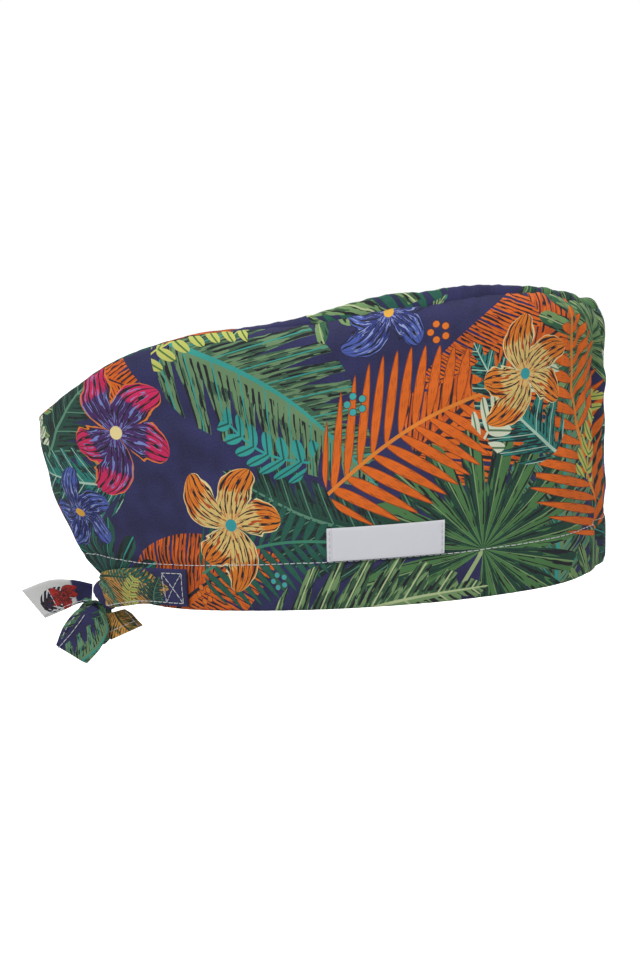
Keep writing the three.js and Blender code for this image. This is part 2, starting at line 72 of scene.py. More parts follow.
bpy.ops.mesh.primitive_plane_add(size=14, location=(0, 0, FLOOR_LEVEL))
floor = bpy.context.object
floor.name = "floor"
floor_finish = bpy.data.materials.new("pale_floor")
floor_finish.use_nodes = True
floor_shader = floor_finish.node_tree.nodes["Principled BSDF"]
floor_shader.inputs["Base Color"].default_value = linear("#F4F4F3")
floor_shader.inputs["Roughness"].default_value = 0.9
floor_shader.inputs["Emission Color"].default_value = linear("#FFFFFF")
floor_shader.inputs["Emission Strength"].default_value = 0.9
floor.visible_diffuse = floor.visible_glossy = False
floor.data.materials.append(floor_finish)
bpy.ops.object.select_all(action="DESELECT")

bpy.ops.mesh.primitive_uv_sphere_add(segments=48, ring_count=24, radius=6.5)
backdrop = bpy.context.object
backdrop.name = "white_backdrop"
backdrop_finish = bpy.data.materials.new("white_backdrop")
backdrop_finish.use_nodes = True
backdrop_shader = backdrop_finish.node_tree.nodes["Principled BSDF"]
backdrop_shader.inputs["Base Color"].default_value = (0, 0, 0, 1)
backdrop_shader.inputs["Emission Color"].default_value = linear("#FFFFFF")
backdrop_shader.inputs["Emission Strength"].default_value = 1.0
backdrop.data.materials.append(backdrop_finish)
backdrop.visible_diffuse = backdrop.visible_glossy = backdrop.visible_shadow = False

surround = bpy.data.worlds.new("studio")
surround.use_nodes = True
surround.node_tree.nodes["Background"].inputs["Color"].default_value = linear("#F6F8FC")
surround.node_tree.nodes["Background"].inputs["Strength"].default_value = 0.42
bpy.context.scene.world = surround
bpy.context.scene.view_settings.view_transform = "Standard"
for lamp_name, place, size, power in LAMPS:
    bpy.ops.object.light_add(type="AREA", location=place)
    lamp = bpy.context.object
    lamp.name = lamp_name
    lamp.data.size, lamp.data.energy = size, power
    lamp.rotation_euler = (-Vector(place) + Vector((0, 0, 0.06))).to_track_quat("-Z", "Y").to_euler()
bpy.ops.object.select_all(action="DESELECT")

# Side band: one length of printed cotton from the brow round both ears to the nape. Its lower edge is turned
# up inside and stitched, and its upper edge is gathered at the brow and sewn to the crown.
RIM_FRONT, RIM_BACK, RIM_HALF_WIDTH = 121.5, 116.5, 73
RIM_RISE, RIM_DROP = 11, 8
SEAM_FRONT, SEAM_BACK, SEAM_HALF_WIDTH = 114, 150, 64
CROWN_HEIGHT, CROWN_MIDDLE, CROWN_SAG, CROWN_LEAN = 137, -10, 3, 6.5
WALL_BELLY, WALL_SHOULDER, SHOULDER_FULLEST = 6.5, 5.8, 0.918
ROLL_HEIGHT, ROLL_WIDTH = 5.8, 20
GATHER_DEPTH, GATHER_PITCH, GATHER_SPREAD, GATHER_REACH, SEAM_PINCH = 1.5, 10.5, 62, 16, 0.52
NAPE_GATHER_DEPTH, NAPE_GATHER_PITCH, NAPE_GATHER_SPREAD, NAPE_GATHER_HEIGHT = 1.6, 8.5, 34, 13
CINCH_DEPTH, CINCH_SHARE, CINCH_SPREAD, CINCH_REACH = 1.6, 0.06, 0.07, 38
STITCH_SINK, STITCH_GROOVE = 0.6, 1.8
CLOTH, HEM_PLY, HEM_HEIGHT = 1.3, 0.9, 21.7

# Half of the cap's plan, brow to nape: rim along and across, lift, seam along and across, belly, shoulder
# and roll
OUTLINE = [
    [1, 0, 1, 1, 0, 0.15, 0.25, 0.5],
    [0.905, 0.49, 0.9, 0.902, 0.5, 0.3, 0.6, 0.5],
    [0.724, 0.835, 0.72, 0.714, 0.81, 0.65, 0.96, 0.4],
    [0.38, 1, 0.38, 0.392, 0.985, 0.92, 0.93, 0.95],
    [0, 0.98, 0, 0, 1, 1, 0.93, 1],
    [-0.378, 0.82, -0.51, -0.333, 0.9, 1, 0.8, 0.15],
    [-0.705, 0.555, -0.945, -0.72, 0.61, 0.95, 0.43, 0.05],
    [-0.94, 0.25, -0.93, -0.933, 0.22, 1.15, 0.1, 0.05],
    [-1, 0, -1, -1, 0, 1.2, 0, 0.05],
]
# The seam's height from nape to brow: place along the cap and height, as shares
TOP_LINE = [
    [-1, 0.562], [-0.867, 0.672], [-0.733, 0.766], [-0.6, 0.825],
    [-0.453, 0.867], [-0.3, 0.885], [-0.133, 0.902],
    [0, 0.929], [0.16, 0.956], [0.3125, 0.972], [0.536, 0.995], [0.732, 0.997], [0.902, 0.957], [1, 0.928],
]
# Folds: turns at start and end, shares of the wall's height at start and end, width, depth
FOLDS = [
    [0.972, 0.955, 1, 0.6, 5, 2.2],
    [0.955, 0.94, 1, 0.55, 5, -1.6],
    [0.03, 0.045, 1, 0.6, 5, 2],
    [0.905, 0.9, 1, 0.35, 4.8, -1],
    [0.924, 0.93, 0.9, 0.1, 4.4, 1],
    [0.94, 0.948, 0.85, 0.05, 4, -1.1],
    [0.957, 0.963, 0.85, 0.1, 4, 1],
    [0.975, 0.974, 0.9, 0.15, 4, -0.9],
    [0.018, 0.02, 0.9, 0.15, 4, 0.9],
    [0.058, 0.05, 0.85, 0.1, 4, -1],
    [0.088, 0.095, 1, 0.3, 4.8, -1],
    [0.79, 0.785, 1, 0.72, 7, -1.4],
    [0.2, 0.215, 1, 0.7, 8, -1.3],
    [0.545, 0.6, 0.3, 0.5, 8, -1.8],
    [0.53, 0.57, 0.25, 0.62, 8, 1.6],
    [0.455, 0.4, 0.3, 0.5, 8, -1.8],
    [0.6, 0.64, 0.97, 0.86, 6, -1.2],
    [0.4, 0.36, 0.97, 0.86, 6, -1.2],
]


def mix(a, b, share):
    return a + (b - a) * share


def smooth(low, high, value):
    share = np.clip((value - low) / (high - low), 0, 1)
    return share * share * (3 - 2 * share)


def bell(distance, width):
    return np.exp(-((distance / width) ** 2))


def unit(vectors):
    return vectors / np.linalg.norm(vectors, axis=-1, keepdims=True)


def both_halves(column, mirror=1):
    half = [row[column] for row in OUTLINE]
    return np.array(half + [mirror * value for value in half[-2:0:-1]], dtype=float)


def reach(values, front, back):
    return np.where(values > 0, values * front, values * back)


RINGS = {
    "rim_x": reach(both_halves(0), RIM_FRONT, RIM_BACK),
    "rim_y": both_halves(1, -1) * RIM_HALF_WIDTH,
    "rim_z": reach(both_halves(2), RIM_RISE, RIM_DROP),
    "seam_x": reach(both_halves(3), SEAM_FRONT, SEAM_BACK),
    "seam_y": both_halves(4, -1) * SEAM_HALF_WIDTH,
    "belly": both_halves(5) * WALL_BELLY,
    "shoulder": both_halves(6) * WALL_SHOULDER,
    "roll": both_halves(7) * ROLL_HEIGHT,
}


def around(name, turn):
    """Value of a ring at a turn from 0 at the brow by the left ear, the nape and the right ear to 1."""
    values = RINGS[name]
    count = len(values)
    place = np.mod(turn, 1) * count
    first = np.floor(place).astype(int)
    t = place - first
    a, b, c, d = (values[(first + step) % count] for step in (-1, 0, 1, 2))
    return 0.5 * (2 * b + (c - a) * t + (2 * a - 5 * b + 4 * c - d) * t**2 + (3 * b - a - 3 * c + d) * t**3)


def along(table, at):
    """Smooth curve through a table of places and heights, with its places rising."""
    places, heights = np.array(table, dtype=float).T
    last = len(places) - 1
    spot = np.clip(at, places[0], places[-1])
    i = np.clip(np.searchsorted(places, spot, side="right") - 1, 0, last - 1)
    ends = np.arange(last + 1)
    low, high = np.maximum(ends - 1, 0), np.minimum(ends + 1, last)
    slopes = (heights[high] - heights[low]) / (places[high] - places[low])
    span = places[i + 1] - places[i]
    t = (spot - places[i]) / span
    bend = t * (1 - t) * span
    blend = t * t * (3 - 2 * t)
    return mix(heights[i], heights[i + 1], blend) + bend * ((1 - t) * slopes[i] - t * slopes[i + 1])


def top_height(x, y):
    level = CROWN_HEIGHT * along(TOP_LINE, np.where(x > 0, x / SEAM_FRONT, x / SEAM_BACK))
    return level - CROWN_LEAN * smooth(0, SEAM_HALF_WIDTH, y)


def rim_point(turn):
    return np.stack([around("rim_x", turn), around("rim_y", turn), around("rim_z", turn)], axis=-1)


def seam_point(turn):
    x, y = around("seam_x", turn), around("seam_y", turn)
    return np.stack([x, y, top_height(x, y)], axis=-1)


STEP = 1e-3


def outward(turn):
    middle = lambda at: rim_point(at) + seam_point(at)
    run = middle(turn + STEP) - middle(turn - STEP)
    return unit(np.stack([run[..., 1], -run[..., 0], 0 * run[..., 0]], axis=-1))


def wall_length(turn):
    return np.linalg.norm(seam_point(turn) - rim_point(turn), axis=-1)


right_half = np.linspace(0.5, 1, 401)
rim_steps = np.linalg.norm(np.diff(rim_point(right_half), axis=0), axis=-1)
rim_lengths = np.concatenate([[0], np.cumsum(rim_steps)])
HALF_RIM = rim_lengths[-1]


def turn_from_nape(distance):
    return np.interp(distance, rim_lengths, right_half)


def from_brow(turn):
    return np.where(turn > 0.5, turn - 1, turn) * 2 * HALF_RIM


def from_nape(turn):
    return (turn - 0.5) * 2 * HALF_RIM


def shoulder_swell(share):
    return share**6 * (1 - share**14)


def smooth_wall(turn, share):
    belly = around("belly", turn) * 4 * share * (1 - share)
    shoulder = around("shoulder", turn) * shoulder_swell(share) / shoulder_swell(SHOULDER_FULLEST)
    cinch = CINCH_DEPTH * bell(share - CINCH_SHARE, CINCH_SPREAD) * bell(from_nape(turn), CINCH_REACH)
    flat = mix(rim_point(turn), seam_point(turn), share[..., None])
    return flat + outward(turn) * (belly + shoulder - cinch)[..., None]


def wall_normal(turn, share):
    share = np.clip(share, 0, 1)
    low, high = np.maximum(0, share - STEP), np.minimum(1, share + STEP)
    run = smooth_wall(turn + STEP, share) - smooth_wall(turn - STEP, share)
    rise = smooth_wall(turn, high) - smooth_wall(turn, low)
    return unit(np.cross(run, rise))


def gather_wave(distance, pitch):
    wander = 0.22 * pitch * np.sin(1.15 * distance / pitch)
    return np.sin(2 * math.pi * (distance + wander) / pitch)


def fold_depth(turn, share):
    turn = np.mod(turn, 1)
    brow, nape, height = from_brow(turn), from_nape(turn), share * wall_length(turn)
    grow = smooth(0.45, 0.95, share) * (1 - SEAM_PINCH * share**12)
    depth = GATHER_DEPTH * gather_wave(brow, GATHER_PITCH) * bell(brow, GATHER_SPREAD) * grow
    pull = bell(nape, NAPE_GATHER_SPREAD) * bell(height - 0.8 * HEM_HEIGHT, NAPE_GATHER_HEIGHT)
    depth += 0.5 * NAPE_GATHER_DEPTH * (gather_wave(nape, NAPE_GATHER_PITCH) - 1) * pull
    depth -= STITCH_SINK * bell(height - HEM_HEIGHT, STITCH_GROOVE)
    for turn_from, turn_to, share_from, share_to, width, fold in FOLDS:
        run = (share - share_from) / (share_to - share_from)
        middle = mix(turn_from, turn_to, np.clip(run, -0.45, 1.45))
        fade = smooth(-0.45, 0.1, run) * (1 - smooth(0.8, 1.45, run))
        depth += fold * bell((turn - middle) * 2 * HALF_RIM, width) * fade
    return depth


def small_waves(across, up, waves):
    """Sum of fine waves: each has a length along the cloth, a length up it, a phase and a height."""
    total = 0 * across
    for run, rise, phase, height in waves:
        wander = 0.35 * np.sin(up / 9.0 + phase * 3)
        drift = 0.25 * np.sin(across / 17.0 + phase)
        bent = across / run + up / rise + wander + drift
        total = total + height * np.sin(2 * math.pi * bent + phase)
    return total


PUCKER_WAVES = [[5.3, 40, 0.4, 0.2], [7.9, -55, 2.1, 0.22], [3.7, 60, 4.0, 0.1]]
SLACK_WAVES = [[46, 90, 1.1, 0.35], [31, -70, 3.0, 0.22], [83, 45, 5.2, 0.4]]
CRINKLE_WAVES = [[7.5, 150, 0.7, 0.32], [11.5, -120, 2.9, 0.34], [5.1, 60, 5.0, 0.16]]
CRINKLE_SPREAD = 55


def fine_folds(turn, share):
    """Puckers at the two seams and the soft slackness of the cloth between them."""
    turn = np.mod(turn, 1)
    across, up = from_nape(turn), share * wall_length(turn)
    below_seam = (1 - share) * wall_length(turn)
    pucker = small_waves(across, up, PUCKER_WAVES)
    slack = small_waves(across, up, SLACK_WAVES) * np.sin(math.pi * np.clip(share, 0, 1)) ** 0.5
    near_brow = bell(from_brow(turn), CRINKLE_SPREAD)
    crinkle = small_waves(across, up, CRINKLE_WAVES) * near_brow * smooth(-0.1, 0.4, share)
    pull = 0.9 * bell(below_seam, 7) + 0.5 * bell(up - HEM_HEIGHT, 5) + 0.25 * bell(up, 5)
    return pucker * pull + slack + crinkle


def wall_point(turn, share, sink=0.0):
    depth = fold_depth(turn, share) + fine_folds(turn, share) - sink
    return smooth_wall(turn, share) + wall_normal(turn, share) * depth[..., None]


def sewn_shell(name, rows, cloth, wrapped=False, wrong_side=None):
    """Closed wall of cloth from rows of points that go round. Rows wrap too, or end in a closed tip.

    cloth holds each corner's place on the flat cloth, in millimetres, with one column more than rows has,
    and one row more where the rows wrap.
    """
    count, columns = rows.shape[:2]
    spots = rows.reshape(-1, 3) * MM
    index = np.arange(count * columns).reshape(count, columns)
    index = np.concatenate([index, index[:, :1]], axis=1)
    if wrapped:
        index = np.concatenate([index, index[:1]], axis=0)
    quads = np.stack([index[:-1, :-1], index[:-1, 1:], index[1:, 1:], index[1:, :-1]], axis=-1).reshape(-1, 4)
    corners = [cloth[:-1, :-1], cloth[:-1, 1:], cloth[1:, 1:], cloth[1:, :-1]]
    places = np.stack(corners, axis=-2).reshape(-1, 2)
    faces, places = quads.tolist(), [places]
    if not wrapped:
        for row, tip in ((0, len(spots)), (count - 1, len(spots) + 1)):
            ring = index[row]
            pairs = zip(ring[:-1], ring[1:]) if row else zip(ring[1:], ring[:-1])
            faces += [[int(a), int(b), tip] for a, b in pairs]
            ends = cloth[row]
            start, stop = (ends[:-1], ends[1:]) if row else (ends[1:], ends[:-1])
            middle = np.broadcast_to(ends[:-1].mean(axis=0), start.shape)
            places.append(np.stack([start, stop, middle], axis=1).reshape(-1, 2))
        spots = np.concatenate([spots, rows[0].mean(axis=0)[None] * MM, rows[-1].mean(axis=0)[None] * MM])
    mesh = bpy.data.meshes.new(name)
    mesh.from_pydata(spots.tolist(), [], faces)
    places = np.concatenate(places)
    mesh.uv_layers.new(name="cloth").data.foreach_set("uv", (places * MM).ravel())
    mesh.shade_smooth()
    if wrong_side is not None:
        shown = np.broadcast_to(wrong_side[:, None], (count, columns)).ravel()
        shown = np.concatenate([shown, np.full(len(spots) - len(shown), shown[0])])
        mesh.attributes.new("wrong_side", "FLOAT", "POINT").data.foreach_set("value", shown.astype(float))
    piece = bpy.data.objects.new(name, mesh)
    bpy.context.collection.objects.link(piece)
    turn_outwards(mesh)
    return piece


def turn_outwards(mesh):
    """A closed wall whose volume comes out negative is turned right side out."""
    mesh.calc_loop_triangles()
    corners = np.zeros(len(mesh.loop_triangles) * 3, dtype=np.int32)
    mesh.loop_triangles.foreach_get("vertices", corners)
    spots = np.zeros(len(mesh.vertices) * 3)
    mesh.vertices.foreach_get("co", spots)
    a, b, c = spots.reshape(-1, 3)[corners.reshape(-1, 3)].transpose(1, 0, 2)
    if np.einsum("ij,ij->i", a, np.cross(b, c)).sum() < 0:
        mesh.flip_normals()


# The print: leaves, fans, fronds, flowers and sprigs on navy. Each row gives a motif's place along and up the
# flat cloth and its turn in degrees, its length in millimetres and its ink's number.
REPEAT_ALONG, REPEAT_UP, HALF_DROP = 310, 176, 155
PRINT = {
    "patch": [[48, -14, 24, 96, 0], [196, 66, 30, 120, 0], [10, 118, -14, 74, 0], [262, 120, 200, 70, 0]],
    "back_leaf": [
        [-14, 22, 52, 118, 0], [92, 122, -38, 112, 1],
        [196, 30, 158, 92, 0], [262, -6, 78, 112, 1],
    ],
    "fan": [[142, 156, 82, 42, 0], [226, 22, 60, 54, 1], [24, 4, 120, 44, 2], [292, 104, 100, 42, 0]],
    "frond": [[158, 52, 24, 104, 0], [300, 18, 104, 108, 0], [92, 18, 8, 80, 1], [36, 150, 190, 84, 1]],
    "front_leaf": [[128, -20, 14, 104, 2], [262, 60, 128, 66, 3], [60, 60, 172, 66, 3], [6, 96, 62, 62, 2]],
    "flower": [
        [62, 84, 20, 34, 0], [112, 40, 50, 31, 1], [26, 44, 0, 24, 2],
        [246, 96, 10, 27, 1], [184, 128, 0, 25, 2],
    ],
    "sprig": [
        [150, 66, 150, 44, 0], [226, 70, 40, 46, 1], [84, 118, 10, 40, 2],
        [284, 44, 64, 42, 2], [8, 78, 80, 36, 1],
    ],
    "berry": [
        [90, 8, 0, 6, 0], [170, 90, 0, 6, 1], [206, 118, 0, 6, 0],
        [40, 112, 0, 6, 1], [134, 14, 0, 5, 1],
    ],
}
# The ties are cut from another part of the cloth: striped amber petals, a green leaf, and a red flower
TIE_PRINT = {
    "patch": [[-8, 8, 3, 66, 1], [196, 1, 0, 44, 1]],
    "back_leaf": [[86, -7, 14, 52, 1], [150, 6, 180, 36, 0], [178, 4, 190, 22, 4]],
    "fan": [[0, 88, 0, 20, 0]],
    "frond": [[26, 20, -30, 30, 1]],
    "front_leaf": [[14, 16, -70, 20, 1], [44, -2, 60, 22, 0], [112, 3, 4, 46, 1]],
    "flower": [[166, 1, 0, 9, 3]],
    "sprig": [[30, -4, 60, 22, 2]],
    "berry": [[175, 3, 0, 4, 2]],
}
# How far each kind of motif reaches from its line, as a share of its length
SPREAD = {
    "patch": 0.3, "back_leaf": 0.25, "fan": 1, "frond": 0.34,
    "front_leaf": 0.25, "flower": 1, "sprig": 0.25, "berry": 1,
}
ROUND = ("fan", "flower", "berry")


def print_cloth(mesh, table=PRINT):
    """Each face of the cloth gets its place on the nearest motif, in every layer of the print."""
    places = np.zeros(len(mesh.loops) * 2)
    mesh.uv_layers["cloth"].data.foreach_get("uv", places)
    places = places.reshape(-1, 2) / MM
    sizes = np.zeros(len(mesh.polygons), dtype=np.int32)
    mesh.polygons.foreach_get("loop_total", sizes)
    starts = np.concatenate([[0], np.cumsum(sizes)[:-1]])
    middles = np.add.reduceat(places, starts) / sizes[:, None]
    for kind, rows in table.items():
        motifs = [
            [x + across * REPEAT_ALONG + up * HALF_DROP, y + up * REPEAT_UP, math.radians(turn), length, ink]
            for x, y, turn, length, ink in rows
            for across in (-2, -1, 0, 1, 2)
            for up in (-2, -1, 0, 1, 2)
        ]
        best, chosen = np.full(len(middles), 1e9), np.zeros(len(middles), dtype=int)
        for number, (x, y, turn, length, _) in enumerate(motifs):
            along_it = (middles[:, 0] - x) * math.cos(turn) + (middles[:, 1] - y) * math.sin(turn)
            beside_it = (middles[:, 1] - y) * math.cos(turn) - (middles[:, 0] - x) * math.sin(turn)
            held = 0 * along_it if kind in ROUND else np.clip(along_it, 0.1 * length, 0.9 * length)
            away = np.hypot(along_it - held, beside_it) - SPREAD[kind] * length
            nearer = away < best
            best[nearer], chosen[nearer] = away[nearer], number
        motif = np.repeat(np.array(motifs)[chosen], sizes, axis=0)
        x, y, turn, length, ink = motif.T
        along_it = (places[:, 0] - x) * np.cos(turn) + (places[:, 1] - y) * np.sin(turn)
        beside_it = (places[:, 1] - y) * np.cos(turn) - (places[:, 0] - x) * np.sin(turn)
        values = np.stack([along_it / length, beside_it / length, ink], axis=-1)
        mesh.attributes.new(kind, "FLOAT_VECTOR", "CORNER").data.foreach_set("vector", values.ravel())


class Amount:
    """A number in a material, written as arithmetic."""

    def __init__(self, nodes, socket):
        self.nodes, self.socket = nodes, socket

    def made(self, operation, *others):
        node = self.nodes.new("ShaderNodeMath")
        node.operation = operation
        for slot, value in zip(node.inputs, (self, *others)):
            if isinstance(value, Amount):
                self.nodes.id_data.links.new(value.socket, slot)
            else:
                slot.default_value = value
        return Amount(self.nodes, node.outputs[0])

    def __add__(self, other):
        return self.made("ADD", other)

    def __sub__(self, other):
        return self.made("SUBTRACT", other)

    def __mul__(self, other):
        return self.made("MULTIPLY", other)

    def __truediv__(self, other):
        return self.made("DIVIDE", other)

    def __pow__(self, other):
        return self.made("POWER", other)

    def __abs__(self):
        return self.made("ABSOLUTE")

    def __lt__(self, other):
        return self.made("LESS_THAN", other)

    def __gt__(self, other):
        return self.made("GREATER_THAN", other)

    def part(self):
        return self.made("FRACT")

    def wave(self):
        return (self * (2 * math.pi)).made("SINE")

    def rise(self, low, high):
        """0 below low, 1 above high and even between."""
        node = self.nodes.new("ShaderNodeMapRange")
        self.nodes.id_data.links.new(self.socket, node.inputs["Value"])
        node.inputs["From Min"].default_value, node.inputs["From Max"].default_value = low, high
        return Amount(self.nodes, node.outputs["Result"])


def blended(nodes, share, below, above):
    """Colour above laid over colour below, where share is 1."""
    node = nodes.new("ShaderNodeMix")
    node.data_type = "RGBA"
    nodes.id_data.links.new(share.socket, node.inputs["Factor"])
    for slot, colour in ((node.inputs[6], below), (node.inputs[7], above)):
        if isinstance(colour, str):
            slot.default_value = linear(colour)
        else:
            nodes.id_data.links.new(colour, slot)
    return node.outputs[2]


def by_ink(nodes, ink, codes):
    """The colour that an ink's number picks."""
    node = nodes.new("ShaderNodeValToRGB")
    node.color_ramp.interpolation = "CONSTANT"
    nodes.id_data.links.new(((ink + 0.5) / len(codes)).socket, node.inputs[0])
    for number, code in enumerate(codes):
        stops = node.color_ramp.elements
        stop = stops[number] if number < min(2, len(stops)) else stops.new(number / len(codes))
        stop.position, stop.color = number / len(codes), linear(code)
    return node.outputs["Color"]


def strokes(nodes, across, run, fineness=1.0):
    """Uneven pen strokes that run along a motif: 0 to 1 over the lines across it."""
    vector = nodes.new("ShaderNodeCombineXYZ")
    for slot, value in zip(vector.inputs, (across * fineness, run)):
        nodes.id_data.links.new(value.socket, slot)
    noise = nodes.new("ShaderNodeTexNoise")
    noise.inputs["Scale"].default_value = 1
    noise.inputs["Detail"].default_value = 1
    nodes.id_data.links.new(vector.outputs[0], noise.inputs["Vector"])
    return Amount(nodes, noise.outputs["Factor" if "Factor" in noise.outputs else "Fac"])


def motif_place(nodes, kind):
    """Places along and beside a layer's motif, and its ink's number."""
    attribute = nodes.new("ShaderNodeAttribute")
    attribute.attribute_name = kind
    split = nodes.new("ShaderNodeSeparateXYZ")
    nodes.id_data.links.new(attribute.outputs["Vector"], split.inputs[0])
    return [Amount(nodes, socket) for socket in split.outputs]


def pen_lines(nodes, run, pen, most=0.16):
    """Thin dark lines at each whole step of run, which swell and break off with the strokes of the pen."""
    return abs((run + pen * 1.1).part() - 0.5) < (pen * 0.9 - (0.45 - most))


LINE_INK = "#15171F"
LEAF_FULLEST = 0.3


def draw_leaf(nodes, kind, below, faces, shades, veins, width, count, notch):
    along_it, beside, ink = motif_place(nodes, kind)
    beside = beside - (along_it * 0.5).wave() * 0.07
    off = abs(beside)
    from_fullest = along_it - LEAF_FULLEST
    foot = from_fullest.made("MINIMUM", 0) / LEAF_FULLEST
    tip = from_fullest.made("MAXIMUM", 0) / (1 - LEAF_FULLEST)
    half = ((foot * foot * -1 + 1).made("MAXIMUM", 0) ** 0.5) * (tip * tip * -1 + 1) * width
    edge = off / (half + 0.001)
    vein_run = (along_it - off * 0.9) * count
    phase = abs(vein_run.part() - 0.5)
    cut = phase > (edge.rise(0.3, 0.75) * -notch + 0.5)
    inside = (edge < 1) * (along_it > 0) * (along_it < 1) * (cut.made("MULTIPLY", -1) + 1)
    pen = strokes(nodes, vein_run * 7, off * 16)
    shaded = ((pen > 0.52) * (edge > 0.3)).made("MAXIMUM", (beside > 0) * (pen > 0.46))
    face = blended(nodes, shaded, by_ink(nodes, ink, faces), by_ink(nodes, ink, shades))
    face = blended(nodes, pen_lines(nodes, vein_run * 4, pen) * (edge > 0.12), face, LINE_INK)
    ribs = (phase < 0.03).made("MAXIMUM", off < (along_it * -0.009 + 0.012))
    face = blended(nodes, ribs, face, by_ink(nodes, ink, veins))
    return blended(nodes, inside, below, face)


def draw_fan(nodes, below):
    along_it, beside, ink = motif_place(nodes, "fan")
    distance = (along_it * along_it + beside * beside) ** 0.5
    bearing = beside.made("ARCTAN2", along_it) / (2 * math.pi)
    phase = (bearing * 19 + 0.5).part()
    off = abs(phase - 0.5) * 2
    tip = off**1.6 * -0.26 + 1
    slot = off < (distance.rise(0.45, 1.0) * -0.6 + 1.02)
    inside = (distance < tip) * slot * (abs(bearing) < 0.43)
    pen = strokes(nodes, bearing * 150, distance * 5)
    dark = (phase > 0.5) * (pen > 0.36)
    lit = by_ink(nodes, ink, ["#7C9F62", "#4F8048", "#1F5C4C"])
    deep = by_ink(nodes, ink, ["#2F6543", "#174534", "#10332F"])
    face = blended(nodes, dark, lit, deep)
    face = blended(nodes, pen_lines(nodes, bearing * 19 * 3, pen, 0.11) * (distance > 0.2), face, LINE_INK)
    face = blended(nodes, off < 0.05, face, by_ink(nodes, ink, ["#A9BE85", "#86A66C", "#35A396"]))
    stem = (abs(beside) < 0.018) * (along_it < 0.02) * (along_it > -0.55)
    below = blended(nodes, stem, below, "#A9BF85")
    return blended(nodes, inside, below, face)


def draw_frond(nodes, below):
    along_it, beside, ink = motif_place(nodes, "frond")
    beside = beside - (along_it * 0.5).wave() * 0.09
    off = abs(beside)
    half = ((along_it ** 0.7).made("MINIMUM", 1) * 0.5).wave() ** 0.7 * 0.33
    edge = off / (half + 0.001)
    phase = abs(((along_it - off * 0.62) * 15).part() - 0.5)
    fullness = (edge.made("MINIMUM", 1) ** 0.75 * 0.5).wave() ** 0.6 * 0.37
    leaflet = (phase < fullness) * (edge < 1)
    inside = leaflet.made("MAXIMUM", off < 0.008) * (along_it > 0) * (along_it < 1)
    pen = strokes(nodes, phase * 26, edge * 5)
    shade = (phase > (fullness - 0.05)).made("MAXIMUM", pen > 0.62)
    lit = by_ink(nodes, ink, ["#EC6C0C", "#1F6150"])
    face = blended(nodes, shade, lit, by_ink(nodes, ink, ["#8E3A10", "#0F3B33"]))
    face = blended(nodes, off < 0.008, face, by_ink(nodes, ink, ["#F08A2A", "#3B8A6C"]))
    return blended(nodes, inside, below, face)


def draw_flower(nodes, below):
    along_it, beside, ink = motif_place(nodes, "flower")
    distance = (along_it * along_it + beside * beside) ** 0.5
    bearing = beside.made("ARCTAN2", along_it) / (2 * math.pi) + distance * distance * 0.07
    petal = (bearing * 5).made("FLOOR")
    lean = (petal * 0.382).wave()
    angle = ((bearing * 5).part() - 0.5) * (2 * math.pi / 5) + lean * 0.16
    size = lean * 0.13 + 0.87
    run, off = distance * angle.made("COSINE") / size, distance * angle.made("SINE")
    ruffle = strokes(nodes, bearing * 26, distance * 2.5) - 0.5
    swell, taper = run.made("MAXIMUM", 0.001) ** 0.9, (run * -1 + 1).made("MAXIMUM", 0) ** 0.62
    half = swell * taper * (ruffle * 0.5 + 0.76)
    edge = abs(off) / (half + 0.001)
    inside = (edge < 1) * (run < 1)
    pen = strokes(nodes, off / (half + 0.05) * 11, run * 3.5)
    inner = by_ink(nodes, ink, ["#4B2468", "#E9C878", "#2C377F", "#7A1712"])
    outer = by_ink(nodes, ink, ["#D81C5C", "#E8801C", "#4D61B4", "#CF2419"])
    line = by_ink(nodes, ink, ["#7E8FD0", "#C24E16", "#9AA8DC", "#E8483C"])
    face = blended(nodes, (run + pen * 0.5) > 0.82, inner, outer)
    face = blended(nodes, (pen > 0.57) * (run < 0.85), face, line)
    face = blended(nodes, pen_lines(nodes, off / (half + 0.05) * 3, pen, 0.12) * (run > 0.2), face, LINE_INK)
    face = blended(nodes, edge > 0.92, face, by_ink(nodes, ink, ["#E8802A", "#F2DCA0", "#1B1F48", "#8C1510"]))
    eye = by_ink(nodes, ink, ["#F3DE9B", "#2FA3A8", "#F2B441", "#1B1B20"])
    face = blended(nodes, distance < 0.09, face, eye)
    return blended(nodes, inside.made("MAXIMUM", distance < 0.09), below, face)


def draw_sprig(nodes, below):
    along_it, beside, ink = motif_place(nodes, "sprig")
    beside = beside - (along_it * 0.5).wave() * 0.12
    off = abs(beside)
    phase = abs(((along_it - off * 0.7) * 6).part() - 0.5)
    reach_out = (off / (along_it * -0.12 + 0.25)) * 2 - 1
    leaflet = phase < ((reach_out * reach_out * -1 + 1).made("MAXIMUM", 0) ** 0.5 * 0.36)
    inside = leaflet.made("MAXIMUM", off < 0.012) * (along_it > 0) * (along_it < 1)
    leaf = by_ink(nodes, ink, ["#2FA39A", "#DDE3C6", "#C9CC66"])
    face = blended(nodes, phase < 0.06, leaf, by_ink(nodes, ink, ["#17564F", "#5E7F5C", "#4E7A3A"]))
    return blended(nodes, inside, below, face)


def draw_berry(nodes, below):
    along_it, beside, ink = motif_place(nodes, "berry")
    distance = (along_it * along_it + beside * beside) ** 0.5
    bearing = beside.made("ARCTAN2", along_it) / (2 * math.pi)
    angle = ((bearing * 5).part() - 0.5) * (2 * math.pi / 5)
    run, off = distance * angle.made("COSINE") - 0.6, distance * angle.made("SINE")
    spot = (run * run + off * off) ** 0.5
    face = blended(nodes, spot < 0.24, "#5C2A18", by_ink(nodes, ink, ["#EE7A1C", "#3FB3B0", "#15171F"]))
    return blended(nodes, spot < 0.29, below, face)


